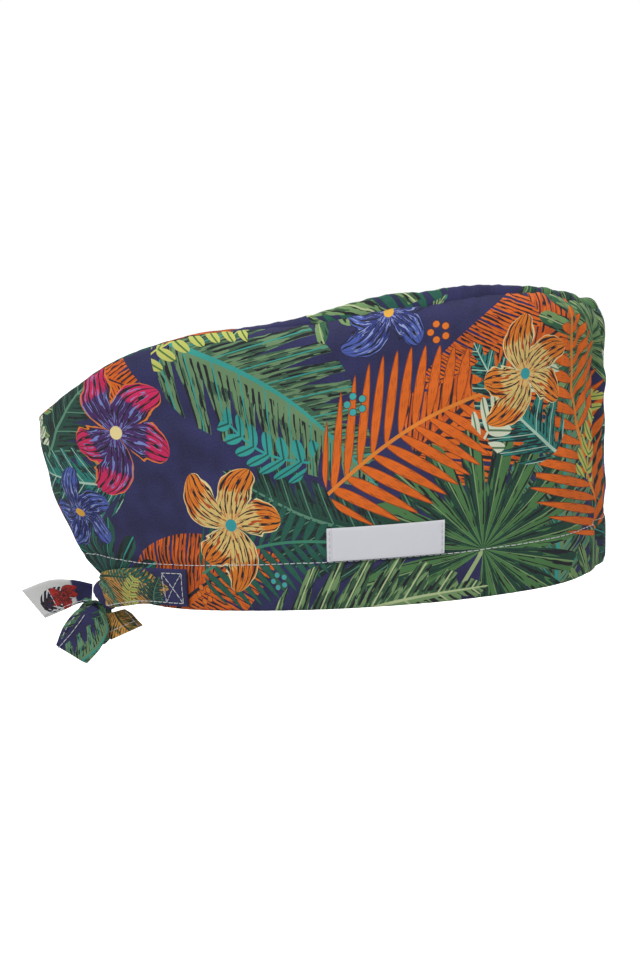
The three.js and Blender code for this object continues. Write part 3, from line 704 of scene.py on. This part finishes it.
def cotton_finish(name):
    """Plain-woven cotton with the tropical print, paler on its wrong side."""
    finish = bpy.data.materials.new(name)
    finish.use_nodes = True
    nodes, links = finish.node_tree.nodes, finish.node_tree.links
    shader = nodes["Principled BSDF"]
    uv = nodes.new("ShaderNodeUVMap")
    uv.uv_map = "cloth"
    split = nodes.new("ShaderNodeSeparateXYZ")
    links.new(uv.outputs[0], split.inputs[0])
    warp, weft = (Amount(nodes, socket) / MM for socket in split.outputs[:2])
    blot = strokes(nodes, warp * 0.09, weft * 0.09)
    paint = blended(nodes, blot.rise(0.35, 0.65), "#252450", "#2D2C60")
    ground = nodes.new("ShaderNodeAttribute")
    ground.attribute_name = "pale_ground"
    paint = blended(nodes, Amount(nodes, ground.outputs["Fac"]), paint, "#DEDEDA")
    patches = ["#EA6C0E", "#DFA24C"], ["#D2560E", "#80793A"], ["#231C2C", "#1E3B2C"]
    paint = draw_leaf(nodes, "patch", paint, *patches, 0.3, 8, 0.08)
    greens = (
        ["#1D4C3D", "#6E9166", "#7A9C66", "#25857A", "#26265A"],
        ["#102E28", "#3D6348", "#365C3E", "#114A48", "#15171F"],
    )
    pale = ["#5F9377", "#35A396", "#BFCF98", "#B4D4BE", "#15171F"]
    paint = draw_leaf(nodes, "back_leaf", paint, *greens, pale, 0.27, 9, 0.2)
    paint = draw_fan(nodes, paint)
    paint = draw_frond(nodes, paint)
    paint = draw_leaf(nodes, "front_leaf", paint, *greens, pale, 0.26, 7, 0.26)
    paint = draw_sprig(nodes, paint)
    paint = draw_flower(nodes, paint)
    paint = draw_berry(nodes, paint)
    threads = (warp / 0.42).wave() * (weft / 0.42).wave()
    fuzz = strokes(nodes, warp * 1.3, weft * 1.3)
    # Cloth colour paled towards grey where the weave's threads rise, a painted thread highlight, and in small
    # random patches of fibre fuzz.
    fuzz_and_thread_highlight = blended(nodes, (threads * 0.05 + fuzz * 0.06).made("MAXIMUM", 0), paint, "#C9CBC6")
    side = nodes.new("ShaderNodeAttribute")
    side.attribute_name = "wrong_side"
    back = blended(nodes, Amount(nodes, side.outputs["Fac"]) * 0.5, fuzz_and_thread_highlight, "#C4C3C6")
    links.new(back, shader.inputs["Base Color"])
    shader.inputs["Roughness"].default_value = 0.82
    shader.inputs["Specular IOR Level"].default_value = 0.2
    shader.inputs["Sheen Weight"].default_value = 0.05
    shader.inputs["Sheen Roughness"].default_value = 0.5
    bump = nodes.new("ShaderNodeBump")
    bump.inputs["Strength"].default_value = 0.5
    bump.inputs["Distance"].default_value = 0.00012
    relief = threads * 0.5 + strokes(nodes, warp * 0.6, weft * 0.6) * 1.5
    links.new(relief.socket, bump.inputs["Height"])
    links.new(bump.outputs[0], shader.inputs["Normal"])
    return finish


PRINTED_COTTON = cotton_finish("printed_cotton")

THREAD, STITCH_PITCH, STITCH_SPACE, THREAD_SIDES = 0.4, 2.9, 0.12, 8
THREAD_RISE = np.array([-0.4, 0.3, 0.5, 0.5, 0.3, -0.4]) * THREAD
THREAD_FULLNESS = np.array([0.5, 0.9, 1, 1, 0.9, 0.5]) * THREAD / 2


def thread_finish():
    """White twisted polyester thread."""
    finish = bpy.data.materials.new("white_thread")
    finish.use_nodes = True
    nodes, links = finish.node_tree.nodes, finish.node_tree.links
    shader = nodes["Principled BSDF"]
    place = nodes.new("ShaderNodeTexCoord")
    split = nodes.new("ShaderNodeSeparateXYZ")
    links.new(place.outputs["Object"], split.inputs[0])
    x, y, z = (Amount(nodes, socket) / MM for socket in split.outputs)
    twist = ((x + y + z) / 0.35).wave()
    # The thread's white is painted greyer in the grooves of its twist and whiter on its ridges, following the
    # twist's bump: painted shade and highlight.
    white = blended(nodes, twist.rise(-1, 1), "#C9C9CF", "#F3F3F0")
    links.new(white, shader.inputs["Base Color"])
    shader.inputs["Roughness"].default_value = 0.45
    bump = nodes.new("ShaderNodeBump")
    bump.inputs["Strength"].default_value = 0.4
    bump.inputs["Distance"].default_value = 0.0001
    links.new(twist.socket, bump.inputs["Height"])
    links.new(bump.outputs[0], shader.inputs["Normal"])
    return finish


WHITE_THREAD = thread_finish()


def stitches(name, lines):
    """Lockstitches along lines on the cloth. Each line is its places and the ways out of the cloth there."""
    spots = []
    for places, ways in lines:
        run = np.concatenate([[0], np.cumsum(np.linalg.norm(np.diff(places, axis=0), axis=-1))])
        count = max(1, round(run[-1] / STITCH_PITCH))
        pitch = run[-1] / count
        share = np.linspace(STITCH_SPACE / 2, pitch - STITCH_SPACE / 2, len(THREAD_RISE))
        at = np.arange(count)[:, None] * pitch + share[None]
        middle = np.stack([np.interp(at, run, axis) for axis in places.T], axis=-1)
        out = unit(np.stack([np.interp(at, run, axis) for axis in ways.T], axis=-1))
        side = unit(np.cross(np.gradient(middle, axis=1), out))
        turn = np.linspace(0, 2 * math.pi, THREAD_SIDES, endpoint=False)[:, None]
        middle = middle + out * THREAD_RISE[:, None]
        ring = side[:, :, None] * np.cos(turn) + out[:, :, None] * np.sin(turn)
        spots.append(middle[:, :, None] + ring * THREAD_FULLNESS[:, None, None])
    spots = np.concatenate(spots)
    index = np.arange(spots[..., 0].size).reshape(spots.shape[:3])
    after = np.roll(index, -1, axis=2)
    quads = np.stack([index[:, :-1], index[:, 1:], after[:, 1:], after[:, :-1]], axis=-1).reshape(-1, 4)
    ends = np.concatenate([index[:, 0, :], index[:, -1, ::-1]])
    mesh = bpy.data.meshes.new(name)
    mesh.from_pydata((spots.reshape(-1, 3) * MM).tolist(), [], quads.tolist() + ends.tolist())
    mesh.shade_smooth()
    turn_outwards(mesh)
    mesh.materials.append(WHITE_THREAD)
    piece = bpy.data.objects.new(name, mesh)
    bpy.context.collection.objects.link(piece)
    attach(piece, "root")
    return piece


BAND_COLUMNS = 440
BAND_ROWS = 92
LINING_ROWS = 34
turns = np.arange(BAND_COLUMNS + 1) / BAND_COLUMNS
hem_share = HEM_HEIGHT / wall_length(turns)

# Shares of the wall's height and depths under its face, round the section: up the face and down the inside
face_rows = np.linspace(0.004, 0.998, BAND_ROWS)
lining_rows = np.linspace(0.99, 0.01, LINING_ROWS)
section_shares = np.concatenate([face_rows, [1.0, 1.0], lining_rows, [0.0, 0.0]])
in_lining = np.concatenate([np.zeros(BAND_ROWS), [0.25, 0.85], np.ones(LINING_ROWS), [0.85, 0.2]])
band_turns, band_shares = np.meshgrid(turns, section_shares)
hem_ply = HEM_PLY * (1 - smooth(0.93, 1.02, band_shares / hem_share[None]))
band_sinks = in_lining[:, None] * (CLOTH + hem_ply)
band_spots = wall_point(band_turns, band_shares, band_sinks)
middle_line = smooth_wall(turns, np.full_like(turns, 0.5))
band_runs = np.concatenate([[0], np.cumsum(np.linalg.norm(np.diff(middle_line, axis=0), axis=-1))])
nape_run = np.interp(0.5, turns, band_runs)
band_across = band_runs[None] - nape_run + 0 * band_shares
band_cloth = np.stack([band_across, band_shares * wall_length(turns)[None]], axis=-1)
band_cloth = np.concatenate([band_cloth, band_cloth[:1]])
side_band = sewn_shell("printed_side_band", band_spots[:, :-1], band_cloth, True, (in_lining > 0.5) * 1.0)
print_cloth(side_band.data)
side_band.data.materials.append(PRINTED_COTTON)
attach(side_band, "root")
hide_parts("side_band")
hem_turns = np.linspace(0, 1, 1200)
hem_shares = HEM_HEIGHT / wall_length(hem_turns)
hem_line = (wall_point(hem_turns, hem_shares), wall_normal(hem_turns, hem_shares))
hem_stitches = stitches("hem_stitches", [hem_line])
HEM_TURNED_UP, SEAM_ALLOWANCE = 30, 10
band_cut = 2 * HALF_RIM, float(wall_length(turns).max()) + HEM_TURNED_UP + SEAM_ALLOWANCE
band_area = 2 * HALF_RIM * (float(wall_length(turns).mean()) + HEM_TURNED_UP + SEAM_ALLOWANCE)

# Crown: the long top panel, cut with a rounded edge that is eased into the seam, so that it stands up in a
# soft roll along the top of the side band. It's one piece of the same printed cotton.
CROWN_COLUMNS = 440
CROWN_PRINT_SHIFT = np.array([150, 40])
ROLL_SECTION = [[0, 0], [0.075, 0.74], [0.2, 1], [0.4, 0.62], [0.7, 0.14], [1, 0]]
ROLL_RINGS = np.linspace(0.0, 22, 26)
MIDDLE_RINGS = np.linspace(0.03, 0.985, 34)


def crown_point(turn, inward):
    seam = smooth_wall(turn, np.ones_like(turn))
    run = np.stack([CROWN_MIDDLE - seam[..., 0], -seam[..., 1], 0 * turn], axis=-1)
    share = inward / np.linalg.norm(run, axis=-1)
    roll = around("roll", turn) * along(ROLL_SECTION, inward / ROLL_WIDTH)
    point = seam + run * share[..., None]
    point[..., 2] = top_height(point[..., 0], point[..., 1]) + roll - CROWN_SAG * smooth(0, 1, share)
    gather = fold_depth(turn, np.ones_like(turn)) * bell(inward, GATHER_REACH)
    pucker = small_waves(from_nape(np.mod(turn, 1)), inward, PUCKER_WAVES) * bell(inward - 2, 6)
    slack = small_waves(point[..., 0], point[..., 1], SLACK_WAVES) * smooth(4, 30, inward)
    point[..., 2] += 0.6 * pucker + 0.8 * slack * smooth(0, 0.2, 1 - share)
    return point + wall_normal(turn, np.ones_like(turn)) * gather[..., None]


def crown_rows(turns, sink):
    seam = smooth_wall(turns, np.ones_like(turns))
    length = np.hypot(CROWN_MIDDLE - seam[:, 0], seam[:, 1])
    edge = ROLL_RINGS[-1]
    inwards = [inward + 0 * length for inward in ROLL_RINGS]
    inwards += [mix(edge, length, share) for share in MIDDLE_RINGS]
    rows = []
    for inward in inwards:
        point = crown_point(turns, inward)
        across = crown_point(turns, inward + 0.4) - crown_point(turns, inward - 0.4)
        round_run = crown_point(turns + STEP, inward) - crown_point(turns - STEP, inward)
        rows.append(point - unit(np.cross(round_run, across)) * sink)
    return np.array(rows)


crown_turns = np.arange(CROWN_COLUMNS) / CROWN_COLUMNS
crown_face = crown_rows(crown_turns, 0)
crown_lining = crown_rows(crown_turns, CLOTH)
TUCK_IN, TUCK_DOWN, TUCKED_RINGS = 1.1, 1.6, 3
kept_rings = len(crown_lining) - TUCKED_RINGS
seam_tuck = crown_face[:1] - wall_normal(crown_turns, np.ones(CROWN_COLUMNS)) * TUCK_IN - [0, 0, TUCK_DOWN]
crown_all = np.concatenate([crown_lining[::-1][:kept_rings], seam_tuck, crown_face])
steps = np.linalg.norm(np.diff(crown_face[::-1], axis=0), axis=-1)
radii = np.concatenate([np.zeros((1, CROWN_COLUMNS)), np.cumsum(steps, axis=0)])[::-1]
ways = unit((crown_face[0] - [CROWN_MIDDLE, 0, 0])[:, :2])
flat_face = np.array([CROWN_MIDDLE, 0]) + radii[..., None] * ways[None]
flat_crown = np.concatenate([flat_face[::-1][:kept_rings], flat_face[:1] + 1.5 * ways, flat_face])
flat_crown = np.concatenate([flat_crown, flat_crown[:, :1]], axis=1)
crown_side = (np.arange(len(crown_all)) <= kept_rings) * 1.0
crown = sewn_shell("printed_crown", crown_all, flat_crown + CROWN_PRINT_SHIFT, False, crown_side)
print_cloth(crown.data)
crown.data.materials.append(PRINTED_COTTON)
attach(crown, "root")
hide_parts("crown_panel")

# Label: a length of white woven tape, its left end folded under, stitched above the hem behind the temple.
LABEL_LENGTH, LABEL_HEIGHT, LABEL_ABOVE_STITCH, LABEL_THICKNESS, LABEL_FROM_NAPE = 50, 14.8, 0.6, 0.7, 157
SEWN_GAP = 0.65  # clears the fine folds under the label and the ties


def on_wall(distance, height, lift):
    """A place on the right half of the wall: from the nape, above the rim and out of the cloth."""
    distance, height, lift = np.broadcast_arrays(*map(np.asarray, (distance, height, lift)))
    turn = turn_from_nape(distance)
    share = height / wall_length(turn)
    return smooth_wall(turn, share) + wall_normal(turn, share) * lift[..., None]


def strip_rows(distances, lows, highs, lifts, thickness, slants, count, face_depth=None, top_lifts=None):
    """Rounded strip against the wall: for each distance, points up its face and down its back."""
    turn = np.linspace(0, 2 * math.pi, 4 * count, endpoint=False) + math.pi / 4
    wide = np.sign(np.cos(turn)) * np.abs(np.cos(turn)) ** 0.18
    deep = np.sign(np.sin(turn)) * np.abs(np.sin(turn)) ** 0.7
    middle, half = (lows + highs) / 2, (highs - lows) / 2
    heights = middle[:, None] + half[:, None] * wide[None]
    tops = lifts if top_lifts is None else top_lifts
    lift = mix(lifts[:, None], tops[:, None], 0.5 + 0.5 * wide[None]) + thickness * (0.5 + 0.5 * deep[None])
    distance = distances[:, None] + slants[:, None] * (heights - middle[:, None])
    if face_depth is not None:
        lift = lift + face_depth(distance, heights - lows[:, None]) * (deep[None] > 0)
    return on_wall(distance, heights, lift), np.stack([distance, heights + 0 * distance], axis=-1)


def strip_piece(name, rows, cloth, mirrored=False):
    if mirrored:
        rows = rows * [1, -1, 1]
    return sewn_shell(name, rows, np.concatenate([cloth, cloth[:, :1]], axis=1))


LABEL_SECTIONS = 240
label_distances = LABEL_FROM_NAPE + np.linspace(0.5, -0.5, LABEL_SECTIONS) * LABEL_LENGTH
label_low = np.full(LABEL_SECTIONS, HEM_HEIGHT + LABEL_ABOVE_STITCH)
level = np.zeros(LABEL_SECTIONS)
LABEL_FOLD, FOLD_EASE, FOLD_RISE, FOLD_DIP, DIP_WIDTH = 2.2, 0.3, 0.35, 0.12, 0.35


def folded_end(distance, height):
    """The tape is doubled at its end nearer the nape."""
    inwards = distance - (LABEL_FROM_NAPE - LABEL_LENGTH / 2)
    doubled = 1 - smooth(LABEL_FOLD - FOLD_EASE, LABEL_FOLD + FOLD_EASE, inwards)
    return FOLD_RISE * doubled - FOLD_DIP * bell(inwards - LABEL_FOLD, DIP_WIDTH)


label_rows, label_cloth = strip_rows(
    label_distances,
    label_low,
    label_low + LABEL_HEIGHT,
    level + SEWN_GAP,
    LABEL_THICKNESS,
    level,
    12,
    folded_end,
)
label = strip_piece("woven_label", label_rows, label_cloth)
label_finish = bpy.data.materials.new("label_tape")
label_finish.use_nodes = True
label_nodes = label_finish.node_tree.nodes
label_shader = label_nodes["Principled BSDF"]
label_uv = label_nodes.new("ShaderNodeUVMap")
label_uv.uv_map = "cloth"
label_split = label_nodes.new("ShaderNodeSeparateXYZ")
label_finish.node_tree.links.new(label_uv.outputs[0], label_split.inputs[0])
tape_run, tape_rise = (Amount(label_nodes, socket) / MM for socket in label_split.outputs[:2])
tape_ribs = ((tape_run + tape_rise) / 0.5).wave() * 0.5 + (tape_rise / 0.3).wave() * 0.5
# The tape's white is painted greyer in the grooves between its ribs and whiter on them, following the ribs'
# bump: painted shade and highlight.
tape_white_with_rib_shade = blended(label_nodes, tape_ribs.rise(-1, 1), "#DCDCE2", "#F1F1F4")
label_finish.node_tree.links.new(tape_white_with_rib_shade, label_shader.inputs["Base Color"])
label_shader.inputs["Roughness"].default_value = 0.6
label_bump = label_nodes.new("ShaderNodeBump")
label_bump.inputs["Strength"].default_value = 0.4
label_bump.inputs["Distance"].default_value = 0.0001
label_finish.node_tree.links.new(tape_ribs.socket, label_bump.inputs["Height"])
label_finish.node_tree.links.new(label_bump.outputs[0], label_shader.inputs["Normal"])
label.data.materials.append(label_finish)
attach(label, "root")
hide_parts("side_label")


def sewn_line(corners, lift, steps=60):
    """A stitching line on a strip, from its corners: distance from the nape and height above the rim."""
    corners = np.array(corners, dtype=float)
    at = np.linspace(0, len(corners) - 1, steps * (len(corners) - 1) + 1)
    distance, height = (np.interp(at, np.arange(len(corners)), column) for column in corners.T)
    ways = on_wall(distance, height, 1.0) - on_wall(distance, height, 0.0)
    return on_wall(distance, height, lift), unit(ways)


LABEL_STITCH_IN, LABEL_STITCH_END = 1.2, 0.6
label_low_line = HEM_HEIGHT + LABEL_ABOVE_STITCH
label_lines = []
for end in (-1, 1):
    end_distance = LABEL_FROM_NAPE + end * (LABEL_LENGTH / 2 - LABEL_STITCH_IN)
    ends = [
        [end_distance, label_low_line + LABEL_STITCH_END],
        [end_distance, label_low_line + LABEL_HEIGHT - LABEL_STITCH_END],
    ]
    label_lines.append(sewn_line(ends, SEWN_GAP + LABEL_THICKNESS + 0.17 * (1 - end)))
label_stitches = stitches("label_stitches", label_lines)

# Ties: strips of the printed cotton folded lengthwise and edge-stitched. Each is box-stitched to the hem
# behind an ear, runs to the nape and is tied there in a bow, where it narrows and lifts off the cloth.
TIE_WIDTH, TIE_THICKNESS = 17.4, 1.5
STRAP_REACH, STRAP_SLANT, STRAP_LIFT, STRAP_TOP_LIFT = 66.5, 0.23, 4, 0.45
KNOT_DEPTH, KNOT_WIDTH, KNOT_HEIGHT, KNOT_ABOVE_RIM, KNOT_RAISE, KNOT_SEAT = 7.4, 17, 14.9, -0.5, 0.9, 0.2
# From the tab to the knot: the share of the run, the lower edge above the rim and the width as shares of the
# tie's width, and the lift off the cloth as a share of its most
STRAP_COURSE = np.array([
    [0, 0.14, 1.04, 0],
    [0.3, 0.125, 1.06, 0],
    [0.5, 0.06, 1.05, 0.08],
    [0.69, -0.06, 1.04, 0.4],
    [0.816, -0.12, 0.98, 0.78],
    [0.9, -0.15, 0.78, 1],
    [1, -0.15, 0.5, 0.95],
])
STRAP_SECTIONS = 120
TIE_PRINT_SHIFT = {"right": np.array([0, 0]), "left": np.array([4, -3])}
TIE_COTTON = cotton_finish("tie_cotton")
knot_side_reach = KNOT_WIDTH / 2 + SEWN_GAP


def strap_at(share):
    """Distance from the nape, lower edge, width and lift of a strap."""
    low, width, lift = (along(STRAP_COURSE[:, [0, column]], share) for column in (1, 2, 3))
    return mix(STRAP_REACH, knot_side_reach, share), TIE_WIDTH * low, TIE_WIDTH * width, STRAP_LIFT * lift


def strap_creases(distance, height):
    """Folds that the knot draws into the tie, and the flattened channel of its edge stitching."""
    drawn = 0.55 * np.sin(height * 1.15 + 0.06 * distance + 0.8) + 0.3 * np.sin(height * 2.3 - 0.1 * distance)
    edge = np.minimum(np.abs(height - EDGE_STITCH_IN), np.abs(height - TIE_WIDTH + EDGE_STITCH_IN))
    return drawn * (1 - smooth(6, 46, distance)) - 0.16 * bell(edge, 0.6)


EDGE_STITCH_IN = 1.7
strap_share = np.linspace(0, 1, STRAP_SECTIONS)
strap_distance, strap_low, strap_width, strap_lift = strap_at(strap_share)
strap_rows, strap_cloth = strip_rows(
    strap_distance,
    strap_low,
    strap_low + strap_width,
    SEWN_GAP + strap_lift,
    TIE_THICKNESS,
    STRAP_SLANT * (1 - strap_share),
    24,
    strap_creases,
    SEWN_GAP + STRAP_TOP_LIFT * strap_lift,
)

# Box stitch and edge stitch: shares of the strap's run and of its width
BOX_STITCH = [
    [0.035, 0.1], [0.035, 0.9], [0.2, 0.9], [0.2, 0.1],
    [0.035, 0.1], [0.2, 0.9], [0.2, 0.1], [0.035, 0.9],
]
EDGE_STITCH = [[0.2, 0.1], [0.97, 0.1]]


def strap_line(corners):
    corners = np.array(corners)
    at = np.linspace(0, len(corners) - 1, 50 * (len(corners) - 1) + 1)
    share, across = (np.interp(at, np.arange(len(corners)), column) for column in corners.T)
    distance, low, width, lift = strap_at(share)
    slid = distance + STRAP_SLANT * (1 - share) * (across - 0.5) * width
    height = low + across * width
    risen = SEWN_GAP + lift * mix(1, STRAP_TOP_LIFT, across)
    face = risen + TIE_THICKNESS + strap_creases(slid, height - low)
    ways = on_wall(slid, height, 1.0) - on_wall(slid, height, 0.0)
    return on_wall(slid, height, face), unit(ways)


for side, mirrored in (("right", False), ("left", True)):
    strap = strip_piece(f"{side}_strap", strap_rows, strap_cloth + TIE_PRINT_SHIFT[side], mirrored)
    print_cloth(strap.data, TIE_PRINT)
    strap.data.materials.append(TIE_COTTON)
    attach(strap, "root")
    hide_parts(f"{side}_tie_strap")
    mirror = np.array([1, -1 if mirrored else 1, 1])
    courses = BOX_STITCH[:5], BOX_STITCH[4:6], BOX_STITCH[6:], EDGE_STITCH
    lines = [(places * mirror, ways * mirror) for places, ways in map(strap_line, courses)]
    seams = stitches(f"{side}_strap_stitches", lines)

# Knot: the two ties wrapped round each other and pulled tight against the nape.
KNOT_SQUARENESS = np.array([0.72, 0.45, 0.72])
knot_middle = on_wall(0, KNOT_ABOVE_RIM, SEWN_GAP + KNOT_SEAT + KNOT_DEPTH / 2)
knot_up = unit(on_wall(0, KNOT_HEIGHT, 0) - on_wall(0, 0, 0))
knot_side = np.array([0.0, 1.0, 0.0])
knot_out = np.cross(knot_side, knot_up)
KNOT_COLUMNS, KNOT_ROWS, KNOT_POLE = 72, 44, 0.02
round_it = np.linspace(0, 2 * math.pi, KNOT_COLUMNS, endpoint=False)
polar, level = np.meshgrid(round_it, np.linspace(KNOT_POLE, math.pi - KNOT_POLE, KNOT_ROWS))
ball = np.stack([np.sin(level) * np.cos(polar), np.sin(level) * np.sin(polar), np.cos(level)], axis=-1)
square = np.sign(ball) * np.abs(ball) ** KNOT_SQUARENESS
wrap = ball[..., 2] - 0.5 * ball[..., 1]
wrap_groove = 0.1 * bell(wrap, 0.22) * (1 - ball[..., 1] ** 2)
wrap_folds = 0.03 * np.sin(22 * wrap) * (1 - ball[..., 1] ** 4)
crease = 1 - wrap_groove - wrap_folds
knot_spots = (
    knot_middle
    + knot_up * KNOT_RAISE
    + knot_out * (square[..., :1] * crease[..., None] * KNOT_DEPTH / 2)
    + knot_side * (square[..., 1:2] * crease[..., None] * KNOT_WIDTH / 2)
    + knot_up * (square[..., 2:] * KNOT_HEIGHT / 2)
)
knot_cloth = np.stack([polar * KNOT_WIDTH / 2, ball[..., 2] * KNOT_HEIGHT / 2], axis=-1)
knot_cloth = np.concatenate([knot_cloth, knot_cloth[:, :1] + [2 * math.pi * KNOT_WIDTH / 2, 0]], axis=1)
KNOT_PRINT_SHIFT = [60, 60]
knot = sewn_shell("tie_knot", knot_spots, knot_cloth + KNOT_PRINT_SHIFT)
print_cloth(knot.data, TIE_PRINT)
knot.data.materials.append(TIE_COTTON)
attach(knot, "root")
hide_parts("bow_knot")

# Bow loops and free ends: the rest of the two ties. The loops fold softly at their far ends, and the free
# ends are turned under and stitched.
RIGHT_LOOP_LENGTH, LEFT_LOOP_LENGTH, LOOP_DEPTH = 32.4, 29, 2.4
UPPER_END_LENGTH, LOWER_END_LENGTH = 31, 22
LOOP_FLAT = [0.86, 0, -0.5]
RIGHT_LOOP_WAY = [-0.51, -0.28, -0.82]
LEFT_LOOP_WAY = [-0.4, 0.45, -0.8]
# Shares of length, fullness, width and slide
LOOP_PATH = [
    [0.24, -0.42, 0.5, 0], [0.42, -0.85, 0.88, -0.09], [0.72, -1, 1, -0.1],
    [0.94, -0.7, 1, -0.03], [1, 0, 1, 0], [0.94, 0.7, 1, 0.03],
    [0.72, 1, 1, 0.1], [0.42, 0.85, 0.88, 0.09], [0.24, 0.42, 0.5, 0],
]
# Places as shares of the end's length, then widths as shares of the tie's width
UPPER_END = [
    [[-0.226, -0.08, 0.07], [-0.03, 0, -0.5]],
    [[-0.46, -0.13, 0.1], [0.13, 0.25, -0.7]],
    [[-0.76, -0.18, 0.055], [0.35, 0.15, -0.88]],
    [[-1.12, -0.22, -0.08], [0.62, 0.03, -0.8]],
]
LOWER_END = [
    [[0.16, 0.02, -0.36], [0.56, 0, 0.15]],
    [[0.21, 0, -0.52], [0.82, 0.04, 0.3]],
    [[0.3, -0.05, -0.67], [0.9, 0.02, 0.38]],
    [[0.43, -0.09, -0.81], [0.91, 0, 0.416]],
]


def through(points, share):
    """Smooth path through points, with each stretch as long in share as the next."""
    points = np.array(points, dtype=float)
    padded = np.concatenate([[2 * points[0] - points[1]], points, [2 * points[-1] - points[-2]]])
    place = np.clip(share, 0, 1) * (len(points) - 1)
    first = np.minimum(place.astype(int), len(points) - 2)
    t = (place - first)[:, None]
    a, b, c, d = (padded[first + step] for step in range(4))
    stretches = (a, b), (b, c), (c, d)
    before, here, after = (np.linalg.norm(q - p, axis=-1, keepdims=True) ** 0.5 for p, q in stretches)
    here = np.where(here < 0.01, 1, here)
    before, after = np.where(before < 0.01, here, before), np.where(after < 0.01, here, after)
    start = here * ((b - a) / before - (c - a) / (before + here) + (c - b) / here)
    stop = here * ((c - b) / here - (d - b) / (here + after) + (d - c) / after)
    return b + start * t + (3 * (c - b) - 2 * start - stop) * t**2 + (2 * (b - c) + start + stop) * t**3


CREASE_DEPTH, CREASE_FADE, CREASES_ACROSS, CREASE_START = 0.5, 3.5, 2.2, 0.13
LOOP_SECTIONS, END_SECTIONS, TIE_RING_SPOTS = 150, 80, 64


def tie_rows(places, widths, sections, tied_twice):
    """Ribbon of folded cotton along a path, with soft creases that spread from the knot."""
    share = np.linspace(0, 1, sections)
    path = through(places, share) + knot_middle
    across = through(widths, share)
    tangent = unit(np.gradient(path, axis=0))
    face = unit(np.cross(tangent, across))
    turn = np.linspace(0, 2 * math.pi, TIE_RING_SPOTS, endpoint=False)
    wide = 0.5 * np.sign(np.cos(turn)) * np.abs(np.cos(turn)) ** 0.2
    deep = 0.5 * np.sign(np.sin(turn)) * np.abs(np.sin(turn)) ** 0.6
    from_knot = np.minimum(share, 1 - share) if tied_twice else share
    fade = CREASE_DEPTH * np.exp(-CREASE_FADE * from_knot)[:, None]
    wave = fade * np.sin(2 * math.pi * (CREASES_ACROSS * wide[None] + CREASE_START))
    rows = (
        path[:, None]
        + across[:, None] * wide[None, :, None]
        + face[:, None] * (deep[None] * TIE_THICKNESS + wave)[..., None]
    )
    length = np.concatenate([[0], np.cumsum(np.linalg.norm(np.diff(path, axis=0), axis=-1))])
    cloth = np.stack(np.broadcast_arrays(length[:, None], TIE_WIDTH * wide[None]), axis=-1)
    return rows, cloth, path, across, face


def loop_rows(length, way):
    out = unit(np.array(way, dtype=float))
    across = np.array(LOOP_FLAT, dtype=float)
    across = unit(across - out * across.dot(out))
    face = np.cross(out, across)
    places = [
        out * row[0] * length + face * row[1] * LOOP_DEPTH + across * row[3] * TIE_WIDTH for row in LOOP_PATH
    ]
    return tie_rows(places, [across * row[2] * TIE_WIDTH for row in LOOP_PATH], LOOP_SECTIONS, True)


def end_rows(table, length):
    places = [np.array(row[0]) * length for row in table]
    return tie_rows(places, [np.array(row[1]) * TIE_WIDTH for row in table], END_SECTIONS, False)


BOW = {
    "right_bow_loop": loop_rows(RIGHT_LOOP_LENGTH, RIGHT_LOOP_WAY),
    "left_bow_loop": loop_rows(LEFT_LOOP_LENGTH, LEFT_LOOP_WAY),
    "upper_tie_end": end_rows(UPPER_END, UPPER_END_LENGTH),
    "lower_tie_end": end_rows(LOWER_END, LOWER_END_LENGTH),
}
BOW_PRINT_SHIFT = {
    "right_bow_loop": [96, 0],
    "left_bow_loop": [100, 4],
    "upper_tie_end": [152, 0],
    "lower_tie_end": [200, 2],
}
PALE_FROM = 0.36, 0.4
# Stitching on the bow: shares along the piece and across its width
BOW_STITCHES = {
    "right_bow_loop": [[[0.12, -0.4], [0.88, -0.4]]],
    "left_bow_loop": [[[0.12, -0.4], [0.88, -0.4]]],
    "upper_tie_end": [[[0.1, 0.4], [0.98, 0.4]], [[0.74, -0.42], [0.74, 0.42]]],
    "lower_tie_end": [[[0.1, 0.4], [0.98, 0.4]], [[0.7, -0.42], [0.7, 0.42]]],
}


def bow_line(ends, path, across, face, side):
    start, stop = np.array(ends)
    share = np.linspace(0, 1, 80)[:, None]
    run, wide = (mix(start, stop, share)).T
    place = run * (len(path) - 1)
    level = np.arange(len(path))
    middle, width, out = (
        np.stack([np.interp(place, level, axis) for axis in rows.T], axis=-1) for rows in (path, across, face)
    )
    out = unit(out) * side
    return middle + width * wide[:, None] + out * (TIE_THICKNESS / 2), out


for node, (rows, cloth, path, across, face) in BOW.items():
    cloth = np.concatenate([cloth, cloth[:, :1]], axis=1) + BOW_PRINT_SHIFT[node]
    tie = sewn_shell(f"cotton_{node}", rows, cloth)
    print_cloth(tie.data, TIE_PRINT)
    if node == "upper_tie_end":
        pale = np.repeat(smooth(*PALE_FROM, np.linspace(0, 1, rows.shape[0])), rows.shape[1])
        pale = np.concatenate([pale, [0, 1]])
        tie.data.attributes.new("pale_ground", "FLOAT", "POINT").data.foreach_set("value", pale)
    tie.data.materials.append(TIE_COTTON)
    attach(tie, "root")
    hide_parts(node)
    lines = [bow_line(ends, path, across, face, side) for ends in BOW_STITCHES[node] for side in (-1, 1)]
    seams = stitches(f"{node}_stitches", lines)
    "folded" if "loop" in node else "hung"
